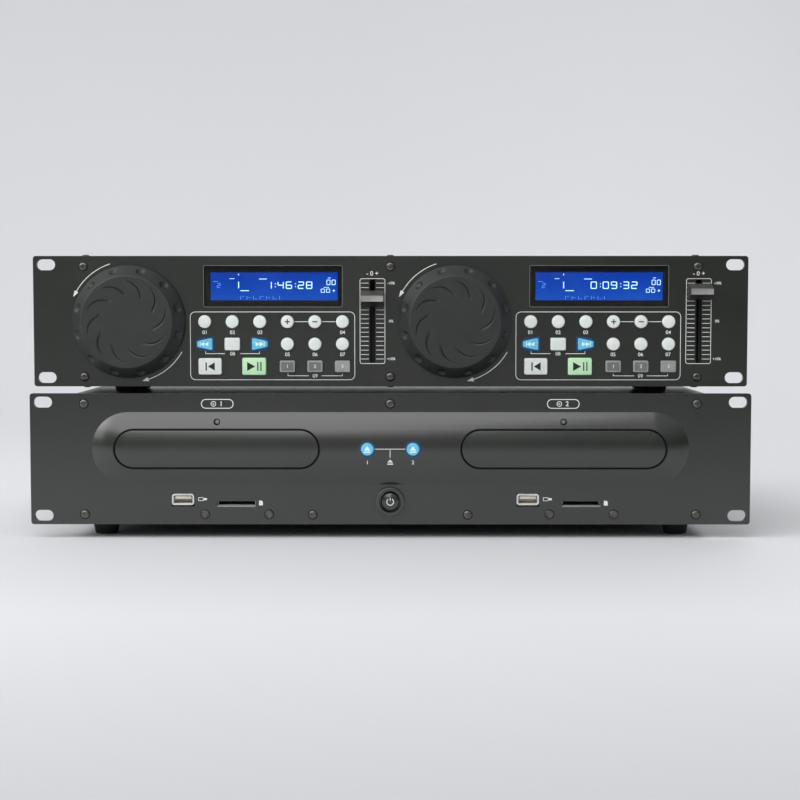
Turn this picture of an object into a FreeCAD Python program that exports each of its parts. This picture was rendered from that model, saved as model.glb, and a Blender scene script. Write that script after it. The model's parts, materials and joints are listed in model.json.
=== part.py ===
import FreeCAD, Part
import math
import os
import re
import Sketcher

# Dual disc player for DJ use: a disc transport unit with two trays, and a control unit with two
# decks of controls that stands on its lid. Both have 19 inch rack panels, two rack units high.
# X runs to the right, Y to the back and Z up. The origin is the middle of the box's underside.

sizes = {
    # rack panels, the same on both units
    "panelWidth": 482.6,
    "panelHeight": 88.1,
    "panelThick": 3,
    "panelCorner": 2,
    "rackPitchWide": 465.1,
    "rackPitchTall": 76.2,
    "rackSlotLong": 12.5,
    "rackSlotTall": 7.4,
    # how the units stand
    "overallDepth": 270.3,
    "footRise": 9.4,
    "unitGap": 3.9,
    "controllerSetback": 14.9,
    "sheetThick": 1.2,
    "runGap": 0.3,
    "cutPlay": 0.4,
    "traverseLead": 20,
    "lidPlay": 0.2,
    "collarCut": 2.5,
    "socketCut": 0.6,
    "ejectCutTall": 21.84,
    "doorCutX": 8,
    "doorCutZ": 4,
    # transport unit: chassis and lid
    "boxWidth": 430,
    "boxDepth": 250,
    "boxInset": 1,
    "bendRadius": 1.6,
    "ventLong": 70,
    "ventTall": 3,
    "ventY": 180,
    "ventField": 48,
    "mainDeckX": 115.7,
    # raised oblong bulge with the tray doors in it
    "bulgeWidth": 400,
    "bulgeHeight": 48.7,
    "bulgeRise": 6.5,
    "bulgeWall": 2.5,
    "bulgeZ": 51.2,
    "doorLong": 135.5,
    "doorTall": 24.6,
    "doorGap": 0.8,
    "doorBack": 1,
    "lampHole": 4.4,
    "lampZ": 69.2,
    "lampWide": 3,
    # eject and power buttons
    "ejectX": 15.2,
    "ejectWide": 8.4,
    "ejectProud": 0.8,
    "powerZ": 15.5,
    "powerWide": 12.4,
    "powerProud": 2.6,
    "powerTravel": 2.5,
    "collarOuter": 19.5,
    "collarInner": 14.7,
    "collarProud": 3.4,
    # card sockets below each tray
    "usbX": -23.4,
    "usbZ": 16.8,
    "usbLong": 13.2,
    "usbTall": 5.8,
    "usbRimLong": 15,
    "usbRimTall": 7.6,
    "usbWall": 0.35,
    "usbTongueLong": 11.7,
    "usbDeep": 14,
    "cardX": 12.4,
    "cardZ": 14.2,
    "cardLong": 25,
    "cardTall": 2.4,
    "slotWide": 24.4,
    "slotLong": 22,
    "cageWide": 26.4,
    # screws
    "screwHead": 5.6,
    "screwHeadTall": 1,
    "screwShank": 2.8,
    "screwHole": 3,
    "screwLong": 7,
    "borePlay": 1,
    "lidScrewHead": 6,
    "lidScrewHeadTall": 2.2,
    "screwCrossLong": 3.2,
    "screwCrossWide": 0.7,
    "screwCrossDeep": 0.8,
    "flangeTall": 14,
    "sideScrewZ": 8,
    # disc tray and loader
    "trayWidth": 129,
    "trayLong": 175,
    "trayThick": 7,
    "trayDrop": 5.8,
    "discPlace": 72,
    "discRecess": 121,
    "discRecessDeep": 2,
    "smallRecess": 81,
    "smallRecessDeep": 3.2,
    "traySlot": 40,
    "trayCorner": 4,
    "frameWidth": 150,
    "frameFront": 12,
    "frameLong": 184,
    "frameThick": 3,
    "frameZ": 38,
    "legWide": 8,
    "legX": 68,
    "frontLegY": 46,
    "rearLegY": 174,
    "railWide": 10.5,
    "railTop": 66,
    "railGrip": 3.3,
    "bridgeLong": 44,
    "bridgeThick": 2.3,
    "traverseWidth": 68,
    "traverseLong": 107,
    "traverseThick": 1.5,
    "motorWide": 26,
    "motorTall": 9.5,
    "loadMotorWide": 12,
    "loadMotorLong": 26,
    "sledMotorWide": 11,
    "sledMotorLong": 20,
    "sledMotorY": 94,
    "hubWide": 29,
    "hubTop": 61.2,
    "hubThick": 3,
    "spindleWide": 8,
    "coneWide": 14.8,
    "coneTip": 11.2,
    "coneTall": 2,
    "sledGauge": 48,
    "rodWide": 3,
    "rodFit": 0.12,
    "rodLong": 69,
    "rodY": 14,
    "rodBlockWide": 7,
    "rodBlockLong": 4,
    "sledWidth": 56,
    "sledLong": 26,
    "sledTall": 8,
    "sledZ": 43.5,
    "sledStart": 17,
    "sledTravel": 34,
    "puckWide": 27,
    "puckFlange": 34,
    "puckFlangeThick": 1.6,
    "puckLift": 3.3,
    "lensBarrelWide": 12,
    "lensWide": 6,
    "lensY": 7,
    "lensStep": 0.8,
    "bridgeHole": 30,
    # transport unit: boards and sockets
    "mediaBoardWide": 60,
    "mediaBoardLong": 34,
    "mediaBoardShift": 2.5,
    "postWide": 6,
    "mediaPostX": 24,
    "mediaPostY": 32,
    "mediaY": 5,
    "usbTongueWide": 11.1,
    "usbTongueThick": 1.84,
    "usbRimThick": 0.6,
    "cageLong": 27,
    "cageY": 3.4,
    "cageWall": 0.4,
    "lampLong": 12,
    "lampProud": 1.6,
    "lampBoardWide": 24,
    "lampBoardTall": 12,
    "lampBoardY": 10.4,
    "lampPegX": 8,
    "lampPegWide": 4,
    "inletWide": 27.4,
    "inletTall": 19.8,
    "inletDeep": 20,
    "inletFlangeWide": 31,
    "inletFlangeTall": 23.4,
    "inletFlangeThick": 2,
    "inletMouthWide": 23.7,
    "inletMouthTall": 16.2,
    "inletMouthDeep": 16,
    "inletPinLong": 13,
    "inletPinWide": 2,
    "inletPinTall": 4,
    "socketDeep": 12,
    "audioWide": 8.4,
    "audioBore": 3.4,
    "audioProud": 10,
    "linkWide": 14,
    "linkMouth": 10,
    "linkCore": 7.4,
    "linkDeep": 6,
    "linkProud": 1,
    "supplyWide": 68,
    "supplyLong": 150,
    "supplyRise": 6,
    "supplyY": 50,
    "coreWide": 44,
    "coreLong": 40,
    "coreTall": 36,
    "windingWide": 34,
    "windingLong": 52,
    "windingTall": 26,
    "coilY": 140,
    "capacitorWide": 16,
    "capacitorTall": 26,
    "capacitorY": 110,
    "sinkWide": 50,
    "sinkTall": 32,
    "sinkY": 76,
    "signalWide": 160,
    "signalLong": 30,
    "signalRise": 12,
    "signalX": 85,
    "signalInset": 4,
    "carrierWide": 130,
    "carrierThick": 6,
    "carrierTall": 60,
    "switchBoardWide": 50,
    "switchBoardTall": 26,
    "switchBoardY": 9.6,
    "switchBoardDrop": 10,
    "switchFootX": 16,
    "switchDeep": 3.4,
    "powerSwitchWide": 14,
    "powerSwitchLong": 22,
    "powerSwitchTall": 24.3,
    "powerSwitchY": 12.5,
    # control unit
    "housingWidth": 428,
    "housingHeight": 86,
    "housingDepth": 76,
    "blockWide": 11,
    "blockTall": 10,
    "blockDeep": 10,
    "lidScrewY": 7,
    "linkX": 60,
    "controlDeckX": 110.1,
    "jogX": -66.5,
    "jogZ": 43.8,
    "jogWide": 76,
    "jogFace": 63,
    "jogProud": 12,
    "jogGap": 0.8,
    "jogShaft": 6,
    "jogShaftReach": 17,
    "jogHole": 16,
    "jogHub": 12,
    "jogHubReach": 2,
    "jogSkirt": 2.4,
    "dimpleWide": 7.5,
    "dimpleOut": 2,
    "dimpleLift": 2.2,
    "grooveDeep": 0.9,
    "windowX": 30.8,
    "windowZ": 67.7,
    "windowWide": 93.2,
    "windowTall": 27.4,
    "displayX": 31.2,
    "displayWide": 86.2,
    "displayTall": 18.9,
    "displayFit": 0.2,
    "windowThick": 1.6,
    "moduleMargin": 4,
    "moduleDeep": 7,
    "glassDeep": 2,
    "glassThick": 0.8,
    "keyStartX": -15.35,
    "keyPitch": 18.62,
    "upperRowZ": 43.8,
    "middleRowZ": 28.7,
    "lowerRowZ": 13.6,
    "keyRound": 8.7,
    "keyGap": 0.35,
    "keyProud": 2.2,
    "keyRounding": 0.6,
    "blockKeyCorner": 1,
    "skipKeyCorner": 1.6,
    "keyTravel": 1,
    "flangeLip": 1,
    "flangeThick": 1.2,
    "plungerWide": 3.6,
    "plungerReach": 3.5,
    "skipLong": 10.4,
    "skipTall": 8.2,
    "skipTip": 4.4,
    "squareWide": 10.3,
    "squareTall": 8.5,
    "cueX": -11.8,
    "cueWide": 15.6,
    "cueTall": 11.2,
    "playX": 18,
    "playWide": 16,
    "playTall": 11.6,
    "loopWide": 10.3,
    "loopTall": 7.9,
    "faderX": 98,
    "faderZ": 44.2,
    "faderSlotWide": 3.6,
    "faderSlotTall": 56.6,
    "faderWide": 15.5,
    "faderTall": 8.6,
    "faderCrest": 3.6,
    "faderProud": 14,
    "faderGap": 1.2,
    "leftFaderRest": 15.1,
    "rightFaderRest": 19.8,
    "faderBlade": 1.6,
    "faderBladeTall": 5,
    "faderBladeReach": 11,
    "slideWide": 9,
    "slideDeep": 9,
    "slideTall": 62,
    "slideSlotWide": 2.4,
    "slideSlotTall": 58,
    "slideSlotDeep": 6,
    "slideY": 7,
    "slideEarTall": 2.4,
    "boardFront": 12,
    "boardThick": 1.6,
    "switchWide": 6,
    "keySwitchDeep": 2.8,
    "keyBoardMargin": 8,
    "keyBoardTall": 46,
    "keyBoardZ": 6,
    "studWide": 4,
    "upperStudZ": 36.25,
    "lowerStudZ": 21.15,
    "encoderWide": 24,
    "encoderDeep": 10,
    "encoderY": 9,
    "jogBoardWide": 60,
    "jogStudX": 26,
    "controlBoardWide": 200,
    "controlBoardTall": 60,
    # feet
    "mainFootWide": 19,
    "controlFootWide": 19,
    "footTaper": 1.7,
    "footRecess": 6,
    "footRecessDeep": 2.5,
}

doc = FreeCAD.newDocument("DualDiscPlayer")
sheet = doc.addObject("Spreadsheet::Sheet", "Sizes")
for row, (alias, size) in enumerate(sizes.items(), start=1):
    sheet.set(f"A{row}", alias)
    sheet.set(f"B{row}", str(size))
    sheet.setAlias(f"B{row}", alias)
doc.recompute()

decks = (("left", -1), ("right", 1))
backward = FreeCAD.Rotation(FreeCAD.Vector(1, 0, 0), -90)
rightward = FreeCAD.Rotation(FreeCAD.Vector(0, 1, 0), 90)
leftward = FreeCAD.Rotation(FreeCAD.Vector(0, 1, 0), -90)
downward = FreeCAD.Rotation(FreeCAD.Vector(1, 0, 0), 180)
upright = FreeCAD.Rotation()
hair = 0.001
cubicCentimetre = 1000

# places that many pieces are counted from
mainFront = "(bulgeRise + ejectProud - overallDepth / 2)"
mainFloor = "footRise"
controlFront = f"({mainFront} + controllerSetback)"
controlFloor = "(footRise + panelHeight + unitGap)"
boxBottom = f"({mainFloor} + boxInset)"
boxTop = f"({mainFloor} + panelHeight - boxInset)"
housingBottom = f"({controlFloor} + (panelHeight - housingHeight) / 2)"
bulgeRadius = "((bulgeHeight^2 / 4 + bulgeRise^2) / (2 * bulgeRise))"
discY = f"({mainFront} - doorBack + discPlace)"
trayZ = f"({mainFloor} + bulgeZ - trayDrop)"


def formula(text):
    # a size's plain name becomes its cell in the sheet
    def cell(match):
        word = match.group()
        return f"Sizes.{word}" if word in sizes else word
    return re.sub(r"[A-Za-z]\w*", cell, str(text))


def measure(text):
    return float(sheet.evalExpression(formula(text)))


def bind(item, **formulas):
    for name, text in formulas.items():
        item.setExpression(name, formula(text))
    return item


def place(item, x=0, y=0, z=0, turn=upright):
    item.Placement = FreeCAD.Placement(FreeCAD.Vector(), turn)
    for axis, text in (("x", x), ("y", y), ("z", z)):
        item.setExpression(f"Placement.Base.{axis}", formula(text))
    return item


def add(kind, label):
    item = doc.addObject(kind, label)
    item.Label = label
    return item


# ---- Part primitives and booleans

def box(label, wide, deep, tall, x, y, z):
    # x is the middle of the width, y the front and z the underside
    block = bind(add("Part::Box", label), Length=wide, Width=deep, Height=tall)
    return place(block, f"({x}) - ({wide}) / 2", y, z)


def rod(label, diameter, length, x, y, z, turn=upright):
    bar = bind(add("Part::Cylinder", label), Radius=f"({diameter}) / 2", Height=length)
    return place(bar, x, y, z, turn)


def ball(label, diameter, x, y, z):
    return place(bind(add("Part::Sphere", label), Radius=f"({diameter}) / 2"), x, y, z)


def fuse(label, pieces):
    item = add("Part::MultiFuse", label)
    item.Shapes = pieces
    return item


def cut(label, base, tools):
    item = add("Part::Cut", label)
    item.Base = base
    item.Tool = tools[0] if len(tools) == 1 else fuse(f"{label} cutters", tools)
    return item


def common(label, pieces):
    item = add("Part::MultiCommon", label)
    item.Shapes = pieces
    return item


def group(label, pieces):
    item = add("Part::Compound", label)
    item.Links = pieces
    return item


def copy_at(label, original, x, y, z, turn=upright):
    link = add("App::Link", label)
    link.LinkedObject = original
    link.LinkTransform = False
    return place(link, x, y, z, turn)


# ---- PartDesign bodies

def new_body(label, x=0, y=0, z=0):
    return place(add("PartDesign::Body", label), x, y, z)


def sketch_on(body, role, lift=0):
    # the XZ plane's normal points forward, so its lift does too
    plane = next(item for item in body.Origin.OriginFeatures if item.Role == role)
    sketch = body.newObject("Sketcher::SketchObject", f"{body.Name}Sketch")
    sketch.AttachmentSupport = [(plane, "")]
    sketch.MapMode = "FlatFace"
    sketch.setExpression("AttachmentOffset.Base.z", formula(lift))
    return sketch


def tie(sketch, kind, targets, text):
    index = sketch.addConstraint(Sketcher.Constraint(kind, *targets, measure(text)))
    sketch.setExpression(f"Constraints[{index}]", formula(text))


def tie_point(sketch, shape, point, x, y):
    tie(sketch, "DistanceX", (-1, 1, shape, point), x)
    tie(sketch, "DistanceY", (-1, 1, shape, point), y)


def draw_polygon(sketch, corners):
    points = [FreeCAD.Vector(measure(x), measure(y), 0) for x, y in corners]
    count = len(points)
    sides = [sketch.addGeometry(Part.LineSegment(points[i], points[(i + 1) % count])) for i in range(count)]
    for i, (x, y) in enumerate(corners):
        sketch.addConstraint(Sketcher.Constraint("Coincident", sides[i - 1], 2, sides[i], 1))
        tie_point(sketch, sides[i], 1, x, y)


def draw_rectangle(sketch, wide, tall, x=0, y=0):
    left, right = f"({x}) - ({wide}) / 2", f"({x}) + ({wide}) / 2"
    low, high = f"({y}) - ({tall}) / 2", f"({y}) + ({tall}) / 2"
    draw_polygon(sketch, [(left, low), (right, low), (right, high), (left, high)])


def draw_circle(sketch, diameter, x=0, y=0):
    centre = FreeCAD.Vector(measure(x), measure(y), 0)
    ring = sketch.addGeometry(Part.Circle(centre, FreeCAD.Vector(0, 0, 1), measure(diameter) / 2))
    tie(sketch, "Diameter", (ring,), diameter)
    tie_point(sketch, ring, 3, x, y)


def draw_slot(sketch, long, tall, x=0, y=0):
    # a straight-sided slot with round ends, long way along the sketch's x
    reach, radius = f"(({long}) - ({tall})) / 2", f"({tall}) / 2"
    half, round_end = measure(reach), measure(radius)
    middle = FreeCAD.Vector(measure(x), measure(y), 0)
    up, along = FreeCAD.Vector(0, round_end, 0), FreeCAD.Vector(half, 0, 0)
    normal = FreeCAD.Vector(0, 0, 1)
    quarter = math.pi / 2
    top = sketch.addGeometry(Part.LineSegment(middle + along + up, middle - along + up))
    base = sketch.addGeometry(Part.LineSegment(middle - along - up, middle + along - up))
    left_circle = Part.Circle(middle - along, normal, round_end)
    right_circle = Part.Circle(middle + along, normal, round_end)
    left = sketch.addGeometry(Part.ArcOfCircle(left_circle, quarter, 3 * quarter))
    right = sketch.addGeometry(Part.ArcOfCircle(right_circle, -quarter, quarter))
    for first, first_end, second, second_end in ((top, 2, left, 1), (left, 2, base, 1),
                                                 (base, 2, right, 1), (right, 2, top, 1)):
        sketch.addConstraint(Sketcher.Constraint("Tangent", first, first_end, second, second_end))
    sketch.addConstraint(Sketcher.Constraint("Equal", left, right))
    tie(sketch, "Radius", (left,), radius)
    tie_point(sketch, left, 3, f"({x}) - {reach}", y)
    tie_point(sketch, right, 3, f"({x}) + {reach}", y)


def pad(body, sketch, length, back=False):
    feature = body.newObject("PartDesign::Pad", f"{body.Name}Pad")
    feature.Profile = sketch
    feature.Reversed = back
    return bind(feature, Length=length)


def pocket(body, sketch, depth=None, forward=False):
    feature = body.newObject("PartDesign::Pocket", f"{body.Name}Pocket")
    feature.Profile = sketch
    feature.Reversed = forward
    if depth is None:
        feature.Type = "ThroughAll"
        return feature
    return bind(feature, Length=depth)


def revolve(body, sketch):
    feature = body.newObject("PartDesign::Revolution", f"{body.Name}Turned")
    feature.Profile = sketch
    feature.ReferenceAxis = (sketch, ["V_Axis"])
    feature.Angle = 360
    return feature


def dress(body, kind, size_name, radius, wanted):
    # a fillet or chamfer on the edges that the test picks out of the body's last feature
    doc.recompute()
    base = body.Tip
    names = [f"Edge{i}" for i, edge in enumerate(base.Shape.Edges, start=1) if wanted(edge)]
    feature = body.newObject(kind, f"{body.Name}Edges")
    feature.Base = (base, names)
    return bind(feature, **{size_name: radius})


def fillet(body, radius, wanted):
    return dress(body, "PartDesign::Fillet", "Radius", radius, wanted)


def chamfer(body, size, wanted):
    return dress(body, "PartDesign::Chamfer", "Size", size, wanted)


def span(edge, axis):
    limits = edge.BoundBox
    return getattr(limits, f"{axis}Length")


def runs_along(axis):
    others = [name for name in "XYZ" if name != axis]
    return lambda edge: all(span(edge, name) < hair for name in others)


def lies_at_y(text):
    y = measure(text)
    return lambda edge: abs(edge.BoundBox.YMin - y) < hair and abs(edge.BoundBox.YMax - y) < hair


# ---- screw places, as x and z on the panels

mainPanelScrews = [("-205", "81.2"), ("205", "81.2"), ("0", "81.2"), ("-205", "6.7"), ("205", "6.7"),
                   ("-52", "6.5"), ("52", "6.5")]
mainPanelScrews += [(f"{sign} * mainDeckX + ({x})", "6.8") for name, sign in decks for x in ("-8.8", "34.3")]
screwBlocksX = ("-207.3", "0", "207.3")
controlPanelScrews = [(x, z) for x in screwBlocksX for z in ("6.5", "81")]
sideScrewsY = ("30", "125", "220")
mainFeetX, mainFeetY = ("-195.6", "195.6"), ("27", "225")
controlFeetX, controlFeetY = ("-181", "181"), ("18", "66")
ventsX = ("-130", "0", "130")
ventRows = 7

# the keys of one deck: name, kind, column or x, row
deckKeys = [
    ("source", "round", 0, "upperRowZ"),
    ("mode", "round", 1, "upperRowZ"),
    ("single", "round", 2, "upperRowZ"),
    ("plus", "round", 3, "upperRowZ"),
    ("minus", "round", 4, "upperRowZ"),
    ("pitch", "round", 5, "upperRowZ"),
    ("skip_back", "skip", 0, "middleRowZ"),
    ("folder", "square", 1, "middleRowZ"),
    ("skip_forward", "skip", 2, "middleRowZ"),
    ("reverse", "round", 3, "middleRowZ"),
    ("tap", "round", 4, "middleRowZ"),
    ("time", "round", 5, "middleRowZ"),
    ("cue", "cue", "cueX", "lowerRowZ"),
    ("play", "play", "playX", "lowerRowZ"),
    ("loop_in", "loop", 3, "lowerRowZ"),
    ("loop_out", "loop", 4, "lowerRowZ"),
    ("reloop", "loop", 5, "lowerRowZ"),
]


def key_x(sign, column):
    along = f"keyStartX + {column} * keyPitch" if isinstance(column, int) else column
    return f"({sign} * controlDeckX + {along})"


# ---- rack panels

def draw_rack_slots(sketch):
    for sign in (-1, 1):
        for rise in (-1, 1):
            draw_slot(sketch, "rackSlotLong", "rackSlotTall", f"{sign} * rackPitchWide / 2",
                      f"panelHeight / 2 + {rise} * rackPitchTall / 2")


def rack_plate(label, front, floor, screws):
    body = new_body(label, 0, front, floor)
    outline = sketch_on(body, "XZ_Plane")
    draw_rectangle(outline, "panelWidth", "panelHeight", 0, "panelHeight / 2")
    pad(body, outline, "panelThick", back=True)
    fillet(body, "panelCorner", runs_along("Y"))
    holes = sketch_on(body, "XZ_Plane")
    draw_rack_slots(holes)
    for x, z in screws:
        draw_circle(holes, "screwHole", x, z)
    pocket(body, holes)
    return body


def bulge_bar(label, radius):
    # a bar with ball ends, whose front stands out of the panel as the bulge
    y = f"{mainFront} - bulgeRise + {bulgeRadius}"
    z = f"{mainFloor} + bulgeZ"
    end = "(bulgeWidth - bulgeHeight) / 2"
    middle = rod(f"{label} middle", f"2 * ({radius})", f"2 * {end}", f"-{end}", y, z, rightward)
    ends = [ball(f"{label} end", f"2 * ({radius})", f"{sign} * {end}", y, z) for sign in (-1, 1)]
    return fuse(label, [middle] + ends)


def door_prism(label, sign, gap, depth):
    body = new_body(label, f"{sign} * mainDeckX", f"{mainFront} - doorBack", f"{mainFloor} + bulgeZ")
    outline = sketch_on(body, "XZ_Plane")
    draw_slot(outline, f"doorLong + 2 * {gap}", f"doorTall + 2 * {gap}")
    feature = pad(body, outline, "bulgeRise")
    if depth:
        feature.SideType = "Two sides"
        bind(feature, Length2=depth)
    return body


def main_panel(outer_bar):
    plate = rack_plate("transport panel plate", mainFront, mainFloor, mainPanelScrews)
    ring = sketch_on(plate, "XZ_Plane")
    draw_circle(ring, "collarOuter", 0, "powerZ")
    pad(plate, ring, "collarProud")
    fillet(plate, "collarProud / 4", lies_at_y("-collarProud"))
    openings = sketch_on(plate, "XZ_Plane", "collarProud")
    draw_circle(openings, "collarInner", 0, "powerZ")
    for name, sign in decks:
        draw_rectangle(openings, "usbRimLong + cutPlay", "usbRimTall + cutPlay", f"{sign} * mainDeckX + usbX", "usbZ")
        draw_rectangle(openings, "cardLong + 1", "cardTall + cutPlay", f"{sign} * mainDeckX + cardX", "cardZ")
    pocket(plate, openings)
    card_low = measure("cardZ - (cardTall + cutPlay) / 2")
    front = lies_at_y("0")
    chamfer(plate, 1, lambda edge: front(edge) and abs(edge.BoundBox.ZMax - card_low) < hair)
    near = box("bulge keeper", "panelWidth", f"{bulgeRadius} * 2", "panelHeight", 0,
               f"{mainFront} + panelThick / 2 - {bulgeRadius} * 2", mainFloor)
    bulge = common("bulge", [outer_bar, near])
    skin = fuse("panel with bulge", [plate, bulge])
    tools = [bulge_bar("bulge hollow", f"{bulgeRadius} - bulgeWall")]
    for name, sign in decks:
        tools.append(door_prism(f"{name} tray opening", sign, "doorGap", "panelThick"))
        tools.append(rod(f"{name} lamp hole", "lampHole", "3 * bulgeRise", f"{sign} * mainDeckX",
                         f"{mainFront} - 1.5 * bulgeRise", f"{mainFloor} + lampZ", backward))
        tools.append(rod(f"{name} eject hole", "ejectWide + 2 * keyGap", "3 * bulgeRise", f"{sign} * ejectX",
                         f"{mainFront} - 1.5 * bulgeRise", f"{mainFloor} + bulgeZ", backward))
    return cut("main_panel", skin, tools)


# ---- transport unit: box

def main_chassis():
    # a folded tray with a front and a rear wall
    wide, deep = "(boxWidth - 2 * sheetThick - lidPlay)", "boxDepth"
    tall = "(panelHeight - 2 * boxInset - sheetThick - lidPlay)"
    body = new_body("main_chassis", 0, f"{mainFront} + panelThick", boxBottom)
    side = sketch_on(body, "YZ_Plane", f"-{wide} / 2")
    draw_polygon(side, [("0", "0"), (deep, "0"), (deep, tall), (f"{deep} - sheetThick", tall),
                        (f"{deep} - sheetThick", "sheetThick"), ("sheetThick", "sheetThick"),
                        ("sheetThick", tall), ("0", tall)])
    pad(body, side, wide)
    fillet(body, "bendRadius", lambda edge: runs_along("X")(edge) and edge.BoundBox.ZMax < hair)
    flanges = sketch_on(body, "XZ_Plane")
    for side in (-1, 1):
        draw_rectangle(flanges, "sheetThick", "flangeTall - bendRadius",
                       f"{side} * ({wide} - sheetThick) / 2", "(flangeTall + bendRadius) / 2")
    pad(body, flanges, deep, back=True)
    drill_sides(body, "sideScrewZ")
    front = sketch_on(body, "XZ_Plane")
    rise = "-boxInset"
    for x, z in mainPanelScrews:
        draw_circle(front, "screwHole", x, f"{z} {rise}")
    for name, sign in decks:
        deck = f"{sign} * mainDeckX"
        draw_rectangle(front, "doorLong + doorCutX", "doorTall + doorCutZ", deck, f"bulgeZ {rise}")
        draw_rectangle(front, "mediaBoardWide + 2", "2 * usbRimTall - 2", f"{deck} - 4",
                       f"usbZ + 2 * cutPlay {rise}")
        draw_circle(front, "lampHole + cutPlay", deck, f"lampZ {rise}")
    draw_circle(front, "collarOuter + collarCut", 0, f"powerZ {rise}")
    draw_rectangle(front, "2 * ejectX + 3 * ejectWide", "ejectCutTall", 0, f"bulgeZ {rise}")
    pocket(body, front, "2 * sheetThick")
    rear = sketch_on(body, "XZ_Plane", f"-({deep} - 2 * sheetThick)")
    for x, z in audioSockets:
        draw_circle(rear, "audioWide + socketCut", x, f"{z} {rise}")
    for x, z in controlSockets:
        draw_circle(rear, "linkWide + 1", x, f"{z} {rise}")
    draw_rectangle(rear, "inletWide + 1", "inletTall + 1", inletX, f"{inletZ} {rise}")
    pocket(body, rear, "2 * sheetThick")
    return body


def drill_sides(body, height):
    # screw holes through both sides, near the bottom edge
    holes = sketch_on(body, "YZ_Plane")
    for y in sideScrewsY:
        draw_circle(holes, "screwHole", y, height)
    pocket(body, holes).SideType = "Symmetric"


def main_cover():
    # a folded lid: top and two sides, with a field of vents at the back
    outer, inner = "boxWidth / 2", "(boxWidth / 2 - sheetThick)"
    drop = "(panelHeight - 2 * boxInset)"
    body = new_body("main_cover", 0, f"{mainFront} + panelThick", boxTop)
    section = sketch_on(body, "XZ_Plane")
    draw_polygon(section, [(f"-{outer}", f"-{drop}"), (f"-{outer}", "0"), (outer, "0"), (outer, f"-{drop}"),
                           (inner, f"-{drop}"), (inner, "-sheetThick"), (f"-{inner}", "-sheetThick"),
                           (f"-{inner}", f"-{drop}")])
    pad(body, section, "boxDepth", back=True)
    fillet(body, "bendRadius", lambda edge: runs_along("Y")(edge) and edge.BoundBox.ZMin > -hair)
    drill_sides(body, f"sideScrewZ - {drop}")
    vent = sketch_on(body, "XY_Plane")
    for x in ventsX:
        draw_slot(vent, "ventLong", "ventTall", x, "ventY")
    pocket(body, vent, "2 * sheetThick")
    first = body.Tip
    rows = body.newObject("PartDesign::LinearPattern", "ventPattern")
    rows.Originals = [first]
    rows.Direction = (vent, ["V_Axis"])
    bind(rows, Length="ventField")
    rows.Occurrences = ventRows
    body.Tip = rows
    return body


# ---- transport unit: loaders

def disc_tray(name, sign, outer_bar):
    body = new_body(f"{name} tray plate", f"{sign} * mainDeckX", f"{mainFront} - doorBack", trayZ)
    outline = sketch_on(body, "XY_Plane")
    draw_rectangle(outline, "trayWidth", "trayLong", 0, "trayLong / 2")
    pad(body, outline, "trayThick")
    rear_y = measure("trayLong")
    fillet(body, "trayCorner",
           lambda edge: runs_along("Z")(edge) and abs(edge.BoundBox.YMin - rear_y) < hair)
    for recess, deep in (("discRecess", "discRecessDeep"), ("smallRecess", "smallRecessDeep")):
        circle = sketch_on(body, "XY_Plane", "trayThick")
        draw_circle(circle, recess, 0, "discPlace")
        pocket(body, circle, deep)
    slot = sketch_on(body, "XY_Plane", "trayThick")
    draw_circle(slot, "traySlot", 0, "discPlace")
    pocket(body, slot)
    channel = sketch_on(body, "XY_Plane", "trayThick")
    draw_rectangle(channel, "traySlot", "trayLong - discPlace", 0, "(trayLong + discPlace) / 2")
    pocket(body, channel)
    blank = door_prism(f"{name} door blank", sign, "0", None)
    door = common(f"{name} tray door", [blank, outer_bar])
    return group(f"{name}_disc_tray", [body, door])


def loader_rail(name, sign, side):
    # a side rail with a groove that the tray's edge runs in
    x = f"{sign} * mainDeckX + {side} * (frameWidth / 2 - frameThick - railWide / 2)"
    y = f"{mainFront} + frameFront + 2"
    bottom = "(frameZ + frameThick)"
    rail = box(f"{name} rail block", "railWide", "frameLong - 2 * frameThick", f"railTop - {bottom}", x, y,
               bottom)
    groove_x = f"{sign} * mainDeckX + {side} * (trayWidth / 2 + runGap - railGrip)"
    groove = box(f"{name} rail groove", "2 * railGrip", "frameLong", "trayThick + 2 * runGap", groove_x,
                 f"{y} - 2", f"{trayZ} - runGap")
    return cut(f"{name} rail", rail, [groove])


def loader_frame(name, x, front):
    plate_top = "(frameZ + frameThick)"
    floor = f"({boxBottom} + sheetThick)"
    plate = box(f"{name} frame plate", "frameWidth", "frameLong", "frameThick", x, front, "frameZ")
    rear = box(f"{name} frame rear", "frameWidth", "frameThick", f"railTop - {plate_top}", x,
               f"{front} + frameLong - frameThick", plate_top)
    legs = [rod(f"{name} frame leg", "legWide", f"frameZ - {floor}", f"{x} + {side} * legX",
                f"{front} + {y}", floor) for side in (-1, 1) for y in ("frontLegY", "rearLegY")]
    return fuse(f"{name} loader frame", [plate, rear] + legs)


def clamp_bridge(name, x):
    plate = box(f"{name} bridge plate", "frameWidth - 2 * frameThick", "bridgeLong", "bridgeThick", x,
                f"{discY} - bridgeLong / 2", "railTop")
    hole = rod(f"{name} bridge hole", "bridgeHole", "3 * bridgeThick", x, discY, "railTop - bridgeThick")
    return cut(f"{name} clamp bridge", plate, [hole])


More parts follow.
